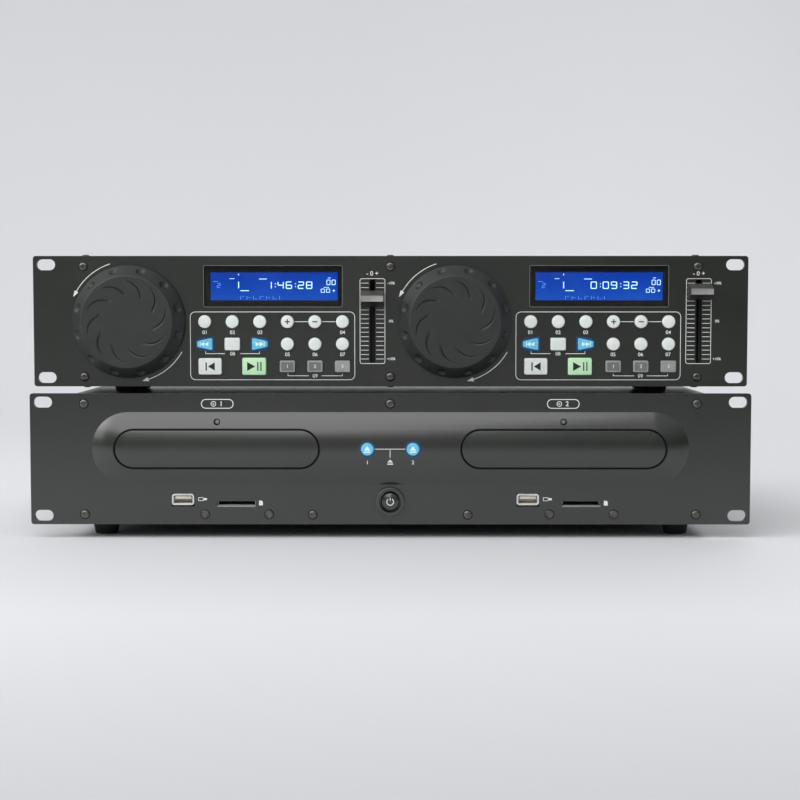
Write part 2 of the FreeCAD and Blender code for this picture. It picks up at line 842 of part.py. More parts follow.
def loader_solids(name, sign):
    x = f"{sign} * mainDeckX"
    front = f"({mainFront} + frameFront)"
    plate_top = "(frameZ + frameThick)"
    traverse = box(f"{name} traverse plate", "traverseWidth", "traverseLong", "traverseThick", x,
                   f"{discY} - traverseLead", plate_top)
    deck_top = f"({plate_top} + traverseThick)"
    spindle_motor = rod(f"{name} spindle motor", "motorWide", "motorTall", x, discY, deck_top)
    loading_motor = rod(f"{name} loading motor", "loadMotorWide", "loadMotorLong", f"{x} + legX / 3",
                        f"{front} + loadMotorWide", f"{plate_top} + loadMotorWide / 2", rightward)
    sled_motor = rod(f"{name} sled motor", "sledMotorWide", "sledMotorLong", f"{x} - sledMotorLong / 2",
                     f"{discY} + sledMotorY", f"{plate_top} + sledMotorWide / 2", rightward)
    rods = [rod(f"{name} sled rod", "rodWide", "rodLong", f"{x} + {side} * sledGauge / 2",
                f"{discY} + rodY", "sledZ + sledTall / 2", backward) for side in (-1, 1)]
    blocks = [box(f"{name} rod block", "rodBlockWide", "rodBlockLong", f"sledZ + sledTall - {deck_top}",
                  f"{x} + {side} * sledGauge / 2", f"{discY} + {y}", deck_top)
              for side in (-1, 1) for y in ("rodY - rodBlockLong", "rodY + rodLong")]
    solids = [loader_frame(name, x, front), clamp_bridge(name, x), traverse, spindle_motor, loading_motor]
    return solids + [sled_motor] + [loader_rail(name, sign, side) for side in (-1, 1)] + rods + blocks


def turntable(name, sign):
    # the hub that carries the disc, and the clamp puck above it
    x = f"{sign} * mainDeckX"
    motor_top = "(frameZ + frameThick + traverseThick + motorTall + runGap)"
    hub = new_body(f"{name} hub", x, discY, 0)
    profile = sketch_on(hub, "XZ_Plane")
    draw_polygon(profile, [("0", motor_top), ("spindleWide / 2", motor_top),
                           ("spindleWide / 2", "hubTop - hubThick"), ("hubWide / 2", "hubTop - hubThick"),
                           ("hubWide / 2", "hubTop"), ("coneWide / 2", "hubTop"),
                           ("coneTip / 2", "hubTop + coneTall"), ("0", "hubTop + coneTall")])
    revolve(hub, profile)
    puck = new_body(f"{name} clamp puck", x, discY, 0)
    disc = sketch_on(puck, "XZ_Plane")
    low, seat = "(hubTop + puckLift)", "(railTop + bridgeThick + runGap)"
    top = f"({seat} + puckFlangeThick)"
    draw_polygon(disc, [("0", low), ("puckWide / 2", low), ("puckWide / 2", seat), ("puckFlange / 2", seat),
                        ("puckFlange / 2", top), ("0", top)])
    revolve(puck, disc)
    return group(f"{name}_turntable", [hub, puck])


def laser_sled(name, sign):
    x = f"{sign} * mainDeckX"
    y = f"({discY} + sledStart)"
    block = box(f"{name} sled block", "sledWidth", "sledLong", "sledTall", x, y, "sledZ")
    bores = [rod(f"{name} sled bore", "rodWide + rodFit", "2 * sledLong", f"{x} + {side} * sledGauge / 2",
                 f"{y} - sledLong / 2", "sledZ + sledTall / 2", backward) for side in (-1, 1)]
    carriage = cut(f"{name} sled carriage", block, bores)
    barrel = rod(f"{name} lens barrel", "lensBarrelWide", "lensStep", x, f"{y} + lensY", "sledZ + sledTall")
    lens = rod(f"{name} lens", "lensWide", "lensStep", x, f"{y} + lensY", "sledZ + sledTall + lensStep")
    return group(f"{name}_laser_sled", [carriage, barrel, lens])


# ---- transport unit: boards and sockets, as x and height above the panel's lower edge

audioSockets = [("30", "62"), ("30", "44"), ("52", "62"), ("52", "44"), ("84", "62"), ("84", "44")]
controlSockets = [("112", "53"), ("138", "53")]
inletX, inletZ = "-165", "50"
inletPins = (("-7", "-4"), ("7", "-4"), ("0", "1"))


def usb_socket(name, x, board_top):
    z = f"{mainFloor} + usbZ"
    front = mainFront
    shell_block = box(f"{name} usb block", "usbLong", "usbDeep", "usbTall", x, f"{front} - usbRimThick / 3",
                      f"{z} - usbTall / 2")
    rim = box(f"{name} usb rim block", "usbRimLong", "usbRimThick", "usbRimTall", x,
              f"{front} - usbRimThick / 3", f"{z} - usbRimTall / 2")
    hollow = box(f"{name} usb hollow", "usbLong - 2 * usbWall", "usbDeep - 1", "usbTall - 2 * usbWall", x,
                 f"{front} - usbRimThick / 2", f"{z} - usbTall / 2 + usbWall")
    shell = cut(f"{name} usb shell", fuse(f"{name} usb body", [shell_block, rim]), [hollow])
    tongue = box(f"{name} usb tongue", "usbTongueWide", "usbTongueLong", "usbTongueThick", x, f"{front} + 1",
                 f"{z} + runGap")
    base = box(f"{name} usb base", "usbLong - 1", "usbDeep / 2", f"{z} - usbTall / 2 - {board_top}", x,
               f"{front} + mediaY + 1", board_top)
    return [shell, tongue, base]


def card_cage(name, x, board_top):
    y = f"({mainFront} + cageY)"
    block = box(f"{name} card cage block", "cageWide", "cageLong", "cardTall + 2 * cageWall", x, y,
                board_top)
    slot = box(f"{name} card slot", "slotWide", "slotLong", "cardTall - runGap / 3", x, f"{y} - runGap / 3",
               f"{board_top} + cageWall")
    return cut(f"{name} card cage", block, [slot])


def tray_lamp(name, x):
    # the lamp above a tray, on a small board pegged to the chassis
    z = f"({mainFloor} + lampZ)"
    lamp = rod(f"{name} lamp", "lampWide", "lampLong", x, f"{mainFront} + lampBoardY - lampLong", z, backward)
    board = box(f"{name} lamp board", "lampBoardWide", "boardThick", "lampBoardTall", x,
                f"{mainFront} + lampBoardY", f"{z} - lampBoardTall / 3")
    peg_y = "(panelThick + sheetThick)"
    pegs = [rod(f"{name} lamp board peg", "lampPegWide", f"lampBoardY - {peg_y}", f"{x} + {side} * lampPegX",
                f"{mainFront} + {peg_y}", f"{z} + lampBoardTall / 3", backward) for side in (-1, 1)]
    return [lamp, board] + pegs


def media_board(name, sign):
    x = f"({sign} * mainDeckX)"
    board_top = f"({mainFloor} + cardZ - cardTall / 2 - cageWall)"
    floor = f"({boxBottom} + sheetThick)"
    board = box(f"{name} media board", "mediaBoardWide", "mediaBoardLong", "boardThick",
                f"{x} - mediaBoardShift", f"{mainFront} + mediaY", f"{board_top} - boardThick")
    posts = [rod(f"{name} board post", "postWide", f"{board_top} - boardThick - {floor}",
                 f"{x} - mediaBoardShift + {side} * mediaPostX", f"{mainFront} + mediaPostY", floor)
             for side in (-1, 1)]
    solids = [board, card_cage(name, f"{x} + cardX", board_top)] + posts
    return solids + usb_socket(name, f"{x} + usbX", board_top) + tray_lamp(name, x)


def mains_inlet():
    rear = f"({mainFront} + panelThick + boxDepth)"
    z = f"{mainFloor} + {inletZ}"
    flange_back = f"({rear} + inletFlangeThick)"
    block = box("inlet block", "inletWide", "inletDeep + inletFlangeThick", "inletTall", inletX,
                f"{rear} - inletDeep", f"{z} - inletTall / 2")
    flange = box("inlet flange", "inletFlangeWide", "inletFlangeThick", "inletFlangeTall", inletX, rear,
                 f"{z} - inletFlangeTall / 2")
    hollow = box("inlet hollow", "inletMouthWide", "inletMouthDeep", "inletMouthTall", inletX,
                 f"{flange_back} - inletMouthDeep", f"{z} - inletMouthTall / 2")
    shroud = cut("inlet shroud", fuse("inlet body", [block, flange]), [hollow])
    pins = [box("inlet pin", "inletPinWide", "inletPinLong", "inletPinTall", f"{inletX} + {x}",
                f"{flange_back} - inletMouthDeep", f"{z} + {rise}") for x, rise in inletPins]
    return fuse("mains inlet", [shroud] + pins)


def socket(label, wide, x, z, proud):
    # a round rear socket: a barrel through the rear wall and the block behind it
    rear = f"({mainFront} + panelThick + boxDepth)"
    height = f"{mainFloor} + {z}"
    block = box(f"{label} block", f"{wide} + 3", "socketDeep", f"{wide} + 4", x,
                f"{rear} - sheetThick - socketDeep", f"{height} - ({wide} + 4) / 2")
    barrel = rod(f"{label} barrel", wide, f"sheetThick + {proud}", x, f"{rear} - sheetThick", height,
                 backward)
    return fuse(f"{label} body", [block, barrel]), f"({rear} + {proud})", height


def audio_socket(x, z):
    body, mouth, height = socket("audio socket", "audioWide", x, z, "audioProud")
    bore = rod("audio socket bore", "audioBore", "audioProud - 1", x, f"{mouth} - audioProud + 1", height,
               backward)
    return cut("audio socket", body, [bore])


def link_groove(x, mouth, height):
    # the ring-shaped groove of a link socket's mouth
    ring = rod("link socket mouth", "linkMouth", "linkDeep", x, f"{mouth} - linkDeep", height, backward)
    core = rod("link socket core", "linkCore", "linkDeep + 2", x, f"{mouth} - linkDeep - 1", height, backward)
    return cut("link socket groove", ring, [core])


def control_socket(x, z):
    body, mouth, height = socket("control socket", "linkWide", x, z, "linkProud")
    return cut("control socket", body, [link_groove(x, mouth, height)])


def supply_solids(floor):
    front = mainFront
    board = box("supply board", "supplyWide", "supplyLong", "boardThick", 0, f"{front} + supplyY",
                f"{floor} + supplyRise")
    posts = [rod("supply post", "postWide", "supplyRise", f"{side} * (supplyWide / 2 - postWide)",
                 f"{front} + supplyY + {y}", floor)
             for side in (-1, 1) for y in ("postWide", "supplyLong - postWide")]
    top = f"({floor} + supplyRise + boardThick)"
    core = box("transformer core", "coreWide", "coreLong", "coreTall", 0,
               f"{front} + coilY + (windingLong - coreLong) / 2", top)
    winding = box("transformer winding", "windingWide", "windingLong", "windingTall", 0, f"{front} + coilY",
                  f"{top} + (coreTall - windingTall) / 2")
    coil = fuse("transformer", [core, winding])
    capacitors = [rod("capacitor", "capacitorWide", "capacitorTall", f"{column} * (capacitorWide + 4)",
                      f"{front} + capacitorY", top) for column in (-1, 0, 1)]
    sink = box("heat sink", "sinkWide", "frameThick", "sinkTall", 0, f"{front} + sinkY", top)
    return [board, coil, sink] + posts + capacitors


def socket_solids(floor):
    rear = f"({mainFront} + panelThick + boxDepth)"
    board = box("socket board", "signalWide", "signalLong", "boardThick", "signalX",
                f"{rear} - signalInset - signalLong", f"{floor} + signalRise")
    posts = [rod("socket board post", "postWide", "signalRise",
                 f"signalX + {side} * (signalWide / 2 - postWide)", f"{rear} - signalInset - {y}", floor)
             for side in (-1, 1) for y in ("postWide", "signalLong - postWide")]
    carrier = box("socket carrier", "carrierWide", "carrierThick", "carrierTall", "signalX",
                  f"{rear} - sheetThick - socketDeep - carrierThick", f"{floor} + signalRise + boardThick")
    sockets = [audio_socket(x, z) for x, z in audioSockets]
    sockets += [control_socket(x, z) for x, z in controlSockets]
    return [board, carrier, mains_inlet()] + posts + sockets


def front_switch_solids(floor):
    # the board behind the eject buttons, and the mains switch below it
    y = f"({mainFront} + switchBoardY)"
    bottom = f"({mainFloor} + bulgeZ - switchBoardDrop)"
    board = box("front switch board", "switchBoardWide", "boardThick", "switchBoardTall", 0, y, bottom)
    feet = [box("front switch board foot", "postWide", "boardThick", f"{bottom} - {floor}",
                f"{side} * switchFootX", y, floor) for side in (-1, 1)]
    switches = [box("eject switch", "switchWide", "switchDeep", "switchWide", f"{sign} * ejectX",
                    f"{y} - switchDeep", f"{mainFloor} + bulgeZ - switchWide / 2") for name, sign in decks]
    power_switch = box("power switch", "powerSwitchWide", "powerSwitchLong", "powerSwitchTall", 0,
                       f"{mainFront} + powerSwitchY", floor)
    return [board, power_switch] + feet + switches


def main_boards():
    floor = f"({boxBottom} + sheetThick)"
    solids = supply_solids(floor) + socket_solids(floor) + front_switch_solids(floor)
    for name, sign in decks:
        solids += media_board(name, sign)
    return group("main_boards", solids)


# ---- keys

def turned_key(label, x, front, z, wide, proud, wall, reach):
    # a round key: cap, flange behind the wall, and plunger
    body = new_body(label, x, front, z)
    profile = sketch_on(body, "XY_Plane")
    back, flange = f"({wall} + runGap)", f"({wall} + runGap + flangeThick)"
    rim = f"({wide}) / 2 + flangeLip"
    draw_polygon(profile, [("0", f"-{proud}"), (f"({wide}) / 2", f"-{proud}"), (f"({wide}) / 2", back),
                           (rim, back), (rim, flange), ("plungerWide / 2", flange),
                           ("plungerWide / 2", f"{flange} + {reach}"), ("0", f"{flange} + {reach}")])
    revolve(body, profile)
    fillet(body, "keyRounding", lies_at_y(f"-{proud}"))
    return body


def finish_block_key(body):
    # the plunger behind a key whose cap and flange are already there
    plunger = sketch_on(body, "XZ_Plane", "-(panelThick + runGap + flangeThick)")
    draw_circle(plunger, "plungerWide")
    pad(body, plunger, "plungerReach", back=True)
    return body


def block_key(label, x, z, wide, tall):
    body = new_body(label, x, controlFront, z)
    cap = sketch_on(body, "XZ_Plane", "keyProud")
    draw_rectangle(cap, wide, tall)
    pad(body, cap, "keyProud + panelThick + runGap", back=True)
    fillet(body, "blockKeyCorner", runs_along("Y"))
    fillet(body, "keyRounding", lies_at_y("-keyProud"))
    flange = sketch_on(body, "XZ_Plane", "-(panelThick + runGap)")
    draw_rectangle(flange, f"{wide} + 2 * flangeLip", f"{tall} + 2 * flangeLip")
    pad(body, flange, "flangeThick", back=True)
    return finish_block_key(body)


def skip_outline(sketch, point, grow):
    # wide at the inner end, narrow at the outer end that the arrow points to
    inner, outer = f"{-point} * (skipLong / 2 + {grow})", f"{point} * (skipLong / 2 + {grow})"
    tall, tip = f"(skipTall / 2 + {grow})", f"(skipTip / 2 + {grow})"
    corners = [(inner, f"-{tall}"), (inner, tall), (outer, tip), (outer, f"-{tip}")]
    draw_polygon(sketch, corners if point > 0 else corners[::-1])


def skip_key(label, x, z, point):
    body = new_body(label, x, controlFront, z)
    cap = sketch_on(body, "XZ_Plane", "keyProud")
    skip_outline(cap, point, "0")
    pad(body, cap, "keyProud + panelThick + runGap", back=True)
    fillet(body, "skipKeyCorner", lambda edge: runs_along("Y")(edge) and point * edge.BoundBox.XMax > 0)
    fillet(body, "keyRounding", lies_at_y("-keyProud"))
    flange = sketch_on(body, "XZ_Plane", "-(panelThick + runGap)")
    skip_outline(flange, point, "flangeLip")
    pad(body, flange, "flangeThick", back=True)
    return finish_block_key(body)


keyShapes = {"square": ("squareWide", "squareTall"), "cue": ("cueWide", "cueTall"),
             "play": ("playWide", "playTall"), "loop": ("loopWide", "loopTall")}


def deck_key(side, sign, name, kind, column, row):
    label = f"{side}_{name}_button"
    x, z = key_x(sign, column), f"{controlFloor} + {row}"
    if kind == "round":
        return turned_key(label, x, controlFront, z, "keyRound", "keyProud", "panelThick", "plungerReach")
    if kind == "skip":
        return skip_key(label, x, z, -1 if name == "skip_back" else 1)
    wide, tall = keyShapes[kind]
    return block_key(label, x, z, wide, tall)


def eject_key(side, sign):
    return turned_key(f"{side}_eject_button", f"{sign} * ejectX", f"{mainFront} - bulgeRise",
                      f"{mainFloor} + bulgeZ", "ejectWide", "ejectProud", "(bulgeWall + runGap)",
                      "plungerReach + 3")


def power_key():
    return turned_key("power_button", 0, mainFront, f"{mainFloor} + powerZ", "powerWide", "powerProud",
                      "panelThick", "plungerReach + 1")


# ---- control unit

def draw_key_opening(sketch, sign, name, kind, column, row):
    x = key_x(sign, column)
    if kind == "round":
        draw_circle(sketch, "keyRound + 2 * keyGap", x, row)
    elif kind == "skip":
        point = -1 if name == "skip_back" else 1
        reach = f"{point} * (skipLong / 2 + keyGap)"
        inner, outer = f"{x} - {reach}", f"{x} + {reach}"
        tall, tip = "(skipTall / 2 + keyGap)", "(skipTip / 2 + keyGap)"
        corners = [(inner, f"{row} - {tall}"), (inner, f"{row} + {tall}"), (outer, f"{row} + {tip}"),
                   (outer, f"{row} - {tip}")]
        draw_polygon(sketch, corners if point > 0 else corners[::-1])
    else:
        wide, tall = keyShapes[kind]
        draw_rectangle(sketch, f"{wide} + 2 * keyGap", f"{tall} + 2 * keyGap", x, row)


def controller_panel():
    body = rack_plate("controller_panel", controlFront, controlFloor, controlPanelScrews)
    for side, sign in decks:
        keys = sketch_on(body, "XZ_Plane")
        for key in deckKeys:
            draw_key_opening(keys, sign, *key)
        pocket(body, keys)
        large = sketch_on(body, "XZ_Plane")
        deck = f"{sign} * controlDeckX"
        draw_circle(large, "jogHole", f"{deck} + jogX", "jogZ")
        draw_rectangle(large, "windowWide", "windowTall", f"{deck} + windowX", "windowZ")
        draw_rectangle(large, "faderSlotWide", "faderSlotTall", f"{deck} + faderX", "faderZ")
        pocket(body, large)
    return body


def controller_housing():
    # a folded box, open at the front, with a screw block behind each panel screw
    rise = "(panelHeight - housingHeight) / 2"
    body = new_body("controller_housing", 0, f"{controlFront} + panelThick", housingBottom)
    outline = sketch_on(body, "XZ_Plane")
    draw_rectangle(outline, "housingWidth", "housingHeight", 0, "housingHeight / 2")
    pad(body, outline, "housingDepth", back=True)
    fillet(body, "bendRadius", runs_along("Y"))
    inside = sketch_on(body, "XZ_Plane")
    draw_rectangle(inside, "housingWidth - 2 * sheetThick", "housingHeight - 2 * sheetThick", 0,
                   "housingHeight / 2")
    pocket(body, inside, "housingDepth - sheetThick")
    blocks = sketch_on(body, "XZ_Plane")
    for x in screwBlocksX:
        draw_rectangle(blocks, "blockWide", "blockTall", x, "sheetThick + blockTall / 2")
        draw_rectangle(blocks, "blockWide", "blockTall", x, "housingHeight - sheetThick - blockTall / 2")
    pad(body, blocks, "blockDeep", back=True)
    bores = sketch_on(body, "XZ_Plane")
    for x, z in controlPanelScrews:
        draw_circle(bores, "screwHole", x, f"{z} - {rise}")
    pocket(body, bores, "screwLong - panelThick + borePlay")
    for height, upward in (("0", True), ("housingHeight", False)):
        lid_bores = sketch_on(body, "XY_Plane", height)
        for x in screwBlocksX:
            draw_circle(lid_bores, "screwHole", x, "lidScrewY")
        pocket(body, lid_bores, "screwLong + borePlay", forward=upward)
    rear = sketch_on(body, "XZ_Plane", "-(housingDepth - 2 * sheetThick)")
    for sign in (-1, 1):
        draw_circle(rear, "linkWide + 1", f"{sign} * linkX", "housingHeight / 2")
    pocket(body, rear, "2 * sheetThick")
    return body


# one swirl groove of the jog wheel's face, as radius and angle: its two tips and its two edges' middles
swirlTips = ((27.8, 165), (17.4, 129.5))
swirlMiddles = ((24, 146), (21.6, 143))
swirlCount = 10
dimpleCount = 12


def jog_wheel(side, sign):
    x = f"{sign} * controlDeckX + jogX"
    wheel = new_body(f"{side} jog body", x, controlFront, f"{controlFloor} + jogZ")
    profile = sketch_on(wheel, "XY_Plane")
    hub_end = "panelThick + jogHubReach"
    draw_polygon(profile, [("0", "-jogProud"), ("jogFace / 2", "-jogProud"),
                           ("jogWide / 2", "-jogGap - jogSkirt"), ("jogWide / 2", "-jogGap"), ("jogHub / 2", "-jogGap"), ("jogHub / 2", hub_end),
                           ("jogShaft / 2", hub_end), ("jogShaft / 2", "jogShaftReach"),
                           ("0", "jogShaftReach")])
    revolve(wheel, profile)
    fillet(wheel, "2 * keyRounding", lies_at_y("-jogProud"))
    groove = sketch_on(wheel, "XZ_Plane", "jogProud")
    draw_crescent(groove)
    pocket(wheel, groove, "grooveDeep")
    first = wheel.Tip
    swirl = wheel.newObject("PartDesign::PolarPattern", f"{side}Swirl")
    swirl.Originals = [first]
    swirl.Axis = (groove, ["N_Axis"])
    swirl.Angle = 360
    swirl.Occurrences = swirlCount
    wheel.Tip = swirl
    return cut(f"{side}_jog_wheel", wheel, dimple_balls(side, x))


def draw_crescent(sketch):
    # two arcs between the same tips: the groove's sharp edge and its shallow side
    tips = [polar(*tip) for tip in swirlTips]
    arcs = [sketch.addGeometry(Part.Arc(tips[0], polar(*middle), tips[1])) for middle in swirlMiddles]
    for end in (1, 2):
        sketch.addConstraint(Sketcher.Constraint("Coincident", arcs[0], end, arcs[1], end))
    for arc in arcs:
        sketch.addConstraint(Sketcher.Constraint("Block", arc))


def polar(radius, degrees):
    return FreeCAD.Rotation(FreeCAD.Vector(0, 0, 1), degrees).multVec(FreeCAD.Vector(radius, 0, 0))


def dimple_balls(side, x):
    # finger dimples round the sloping side of the wheel
    ring = "((jogFace + jogWide) / 4 + dimpleOut)"
    balls = []
    for step in range(dimpleCount):
        angle = (step + 0.5) * 360 / dimpleCount
        balls.append(ball(f"{side} jog dimple", "dimpleWide", f"{x} + {ring} * cos({angle})",
                          f"{controlFront} - jogProud / 2 - dimpleLift",
                          f"{controlFloor} + jogZ + {ring} * sin({angle})"))
    return balls


def pitch_fader(side, sign):
    rest = f"{side}FaderRest"
    body = new_body(f"{side}_pitch_fader", f"{sign} * controlDeckX + faderX", controlFront,
                    f"{controlFloor} + faderZ + {rest}")
    section = sketch_on(body, "YZ_Plane", "-faderWide / 2")
    half, crest = "faderTall / 2", "faderCrest / 2"
    draw_polygon(section, [("-faderGap", f"-{half}"), ("-faderGap", half), ("-faderProud / 3", half),
                           ("-faderProud", crest), ("-faderProud", f"-{crest}"),
                           ("-faderProud / 3", f"-{half}")])
    pad(body, section, "faderWide")
    blade = sketch_on(body, "XZ_Plane", "faderGap")
    draw_rectangle(blade, "faderBlade", "faderBladeTall")
    pad(body, blade, "faderGap + faderBladeReach", back=True)
    return body


def display_solids(side, sign):
    # window pane in the panel, and the display module behind it
    x = f"{sign} * controlDeckX + windowX"
    lit_x = f"{sign} * controlDeckX + displayX"
    z = f"{controlFloor} + windowZ"
    front = f"({controlFront} + panelThick)"
    pane = box(f"{side} display window", "windowWide - 2 * displayFit", "windowThick",
               "windowTall - 2 * displayFit", x, f"{front} - windowThick",
               f"{z} - windowTall / 2 + displayFit")
    block = box(f"{side} display frame block", "windowWide + 2 * moduleMargin", "moduleDeep",
                "windowTall + 1.5 * moduleMargin", x, front, f"{z} - windowTall / 2 - 0.75 * moduleMargin")
    hollow = box(f"{side} display frame hollow", "displayWide", "2 * glassDeep", "displayTall", lit_x,
                 f"{front} - glassDeep", f"{z} - displayTall / 2")
    frame = cut(f"{side} display frame", block, [hollow])
    glass = box(f"{side} display glass", "displayWide - displayFit", "glassThick", "displayTall - displayFit",
                lit_x, f"{front} + glassDeep - glassThick", f"{z} - displayTall / 2 + displayFit / 2")
    return [pane, frame, glass]


def key_board_solids(side, deck, sign):
    # the board behind the keys: a switch for each, and studs to the panel
    y = f"({controlFront} + boardFront)"
    board = box(f"{side} key board", "5 * keyPitch + 2 * keyBoardMargin", "boardThick", "keyBoardTall",
                f"{deck} + keyStartX + 2.5 * keyPitch", y, f"{controlFloor} + keyBoardZ")
    switches = [box(f"{side} {name} switch", "switchWide", "keySwitchDeep", "switchWide", key_x(sign, column),
                    f"{y} - keySwitchDeep", f"{controlFloor} + {row} - switchWide / 2")
                for name, kind, column, row in deckKeys]
    studs = [rod(f"{side} key board stud", "studWide", "boardFront - panelThick",
                 f"{deck} + keyStartX + {column} * keyPitch", f"{controlFront} + panelThick",
                 f"{controlFloor} + {row}", backward)
             for column, row in ((0.5, "upperStudZ"), (4.5, "upperStudZ"), (3.5, "lowerStudZ"))]
    return [board] + switches + studs


def slide_solids(side, deck):
    # slide potentiometer of the pitch fader
    x, y = f"{deck} + faderX", f"({controlFront} + slideY)"
    z = f"({controlFloor} + faderZ)"
    block = box(f"{side} slide block", "slideWide", "slideDeep", "slideTall", x, y, f"{z} - slideTall / 2")
    slot = box(f"{side} slide slot", "slideSlotWide", "slideSlotDeep", "slideSlotTall", x, f"{y} - 0.5",
               f"{z} - slideSlotTall / 2")
    ears = [box(f"{side} slide ear", "slideWide", "slideY - panelThick", "slideEarTall", x,
                f"{controlFront} + panelThick",
                f"{z} + {end} * (slideTall - slideEarTall) / 2 - slideEarTall / 2") for end in (-1, 1)]
    return [cut(f"{side} slide potentiometer", fuse(f"{side} slide body", [block] + ears), [slot])]


def jog_encoder_solids(side, deck):
    x, z = f"{deck} + jogX", f"({controlFloor} + jogZ)"
    block = box(f"{side} encoder block", "encoderWide", "encoderDeep", "encoderWide", x,
                f"{controlFront} + encoderY", f"{z} - encoderWide / 2")
    bore = rod(f"{side} encoder bore", "jogShaft + rodFit", "2 * encoderDeep", x,
               f"{controlFront} + encoderY / 2", z, backward)
    encoder = cut(f"{side} jog encoder", block, [bore])
    back = "(encoderY + encoderDeep)"
    board = box(f"{side} jog board", "jogBoardWide", "boardThick", "jogBoardWide", x,
                f"{controlFront} + {back}", f"{z} - jogBoardWide / 2")
    studs = [rod(f"{side} jog board stud", "studWide", f"{back} - panelThick", f"{x} + {across} * jogStudX",
                 f"{controlFront} + panelThick", f"{z} + {up} * jogStudX", backward)
             for across in (-1, 1) for up in (-1, 1)]
    return [encoder, board] + studs


def deck_board_solids(side, sign):
    deck = f"{sign} * controlDeckX"
    return key_board_solids(side, deck, sign) + slide_solids(side, deck) + jog_encoder_solids(side, deck)


def controller_sockets():
    rear = f"({controlFront} + panelThick + housingDepth)"
    z = f"({housingBottom} + housingHeight / 2)"
    front = f"({rear} - sheetThick - linkWide)"
    sockets = []
    for sign in (-1, 1):
        x = f"{sign} * linkX"
        block = box("link socket block", "linkWide + 4", "linkWide", "linkWide + 4", x, front,
                    f"{z} - linkWide / 2 - 2")
        barrel = rod("link socket barrel", "linkWide", "sheetThick + linkProud", x, f"{rear} - sheetThick", z,
                     backward)
        groove = link_groove(x, f"{rear} + linkProud", z)
        sockets.append(cut("link socket", fuse("link socket body", [block, barrel]), [groove]))
    main_board = box("control board", "controlBoardWide", "boardThick", "controlBoardTall", 0,
                     f"{front} - boardThick", f"{z} - controlBoardTall / 2")
    return sockets + [main_board]


# ---- feet and screws

def foot(label, top, tall):
    cone = bind(add("Part::Cone", f"{label} cone"), Radius1=f"{top} / 2 - footTaper", Radius2=f"{top} / 2",
                Height=tall)
    recess = rod(f"{label} recess", "footRecess", "footRecessDeep", 0, 0, 0)
    return cut(label, cone, [recess])


def feet(label, original, xs, ys, z):
    return group(label, [copy_at(f"{label} copy", original, x, y, z) for x in xs for y in ys])


def screw(label, head_wide, head_tall):
    # head in front of the origin along -Z, shank behind it, and a cross recess
    head = rod(f"{label} head", head_wide, head_tall, 0, 0, f"-{head_tall}")
    shank = rod(f"{label} shank", "screwShank", "screwLong", 0, 0, 0)
    solid = fuse(f"{label} blank", [head, shank])
    bars = [box(f"{label} slot", wide, deep, "screwCrossDeep", 0, f"-{deep} / 2", f"-{head_tall}")
            for wide, deep in (("screwCrossLong", "screwCrossWide"), ("screwCrossWide", "screwCrossLong"))]
    return cut(label, solid, bars)


def main_screws(panel_screw, lid_screw):
    screws = [copy_at("panel screw", panel_screw, x, mainFront, f"{mainFloor} + {z}", backward)
              for x, z in mainPanelScrews]
    for side, turn in ((-1, rightward), (1, leftward)):
        screws += [copy_at("side screw", lid_screw, f"{side} * boxWidth / 2",
                           f"{mainFront} + panelThick + {y}", f"{boxBottom} + sideScrewZ", turn)
                   for y in sideScrewsY]
    return group("main_screws", screws)


def controller_screws(panel_screw, lid_screw):
    screws = [copy_at("control panel screw", panel_screw, x, controlFront, f"{controlFloor} + {z}", backward)
              for x, z in controlPanelScrews]
    y = f"{controlFront} + panelThick + lidScrewY"
    for x in screwBlocksX:
        screws.append(copy_at("top screw", lid_screw, x, y, f"{housingBottom} + housingHeight", downward))
        screws.append(copy_at("bottom screw", lid_screw, x, y, housingBottom))
    return group("controller_screws", screws)


def build():
    outer_bar = bulge_bar("bulge bar", bulgeRadius)
    nodes = [main_panel(outer_bar), main_chassis(), main_cover(), main_boards()]
    nodes.append(group("loader_frames", loader_solids("left", -1) + loader_solids("right", 1)))
    for side, sign in decks:
        nodes.append(disc_tray(side, sign, outer_bar))
        nodes.append(turntable(side, sign))
        nodes.append(laser_sled(side, sign))
        nodes.append(eject_key(side, sign))
    nodes.append(power_key())
    nodes += [controller_panel(), controller_housing()]
    nodes.append(group("display_modules", display_solids("left", -1) + display_solids("right", 1)))
    nodes.append(group("control_boards", deck_board_solids("left", -1) + deck_board_solids("right", 1)
                       + controller_sockets()))
    for side, sign in decks:
        nodes.append(jog_wheel(side, sign))
        nodes.append(pitch_fader(side, sign))
        for key in deckKeys:
            nodes.append(deck_key(side, sign, *key))
    main_foot = foot("main foot", "mainFootWide", boxBottom)
    control_foot = foot("control foot", "controlFootWide", f"{housingBottom} - ({boxTop}) - runGap")
    nodes.append(feet("main_feet", main_foot, mainFeetX, [f"{mainFront} + {y}" for y in mainFeetY], 0))
    nodes.append(feet("controller_feet", control_foot, controlFeetX,
                      [f"{controlFront} + {y}" for y in controlFeetY], f"{boxTop} + runGap"))
    panel_screw = screw("flat screw", "screwHead", "screwHeadTall")
    lid_screw = screw("pan screw", "lidScrewHead", "lidScrewHeadTall")
    nodes.append(main_screws(panel_screw, lid_screw))
    nodes.append(controller_screws(panel_screw, lid_screw))
    return nodes


def export(nodes):
    doc.recompute()
    faults = [item.Label for item in doc.Objects if "Invalid" in item.State or "Error" in item.State]
    faults += [item.Label for item in nodes if item.Shape.isNull() or not item.Shape.isValid()]
    if faults:
        raise RuntimeError(f"these objects failed: {faults}")
    os.makedirs("parts", exist_ok=True)
    for item in nodes:
        item.Shape.exportStep(f"parts/{item.Label}.step")
        print(f"{item.Label}: {len(item.Shape.Solids)} solids, {item.Shape.Volume / cubicCentimetre:.2f} cm3")


export(build())
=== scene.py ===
import bmesh
import bpy
import json
import math
from mathutils import Matrix, Vector

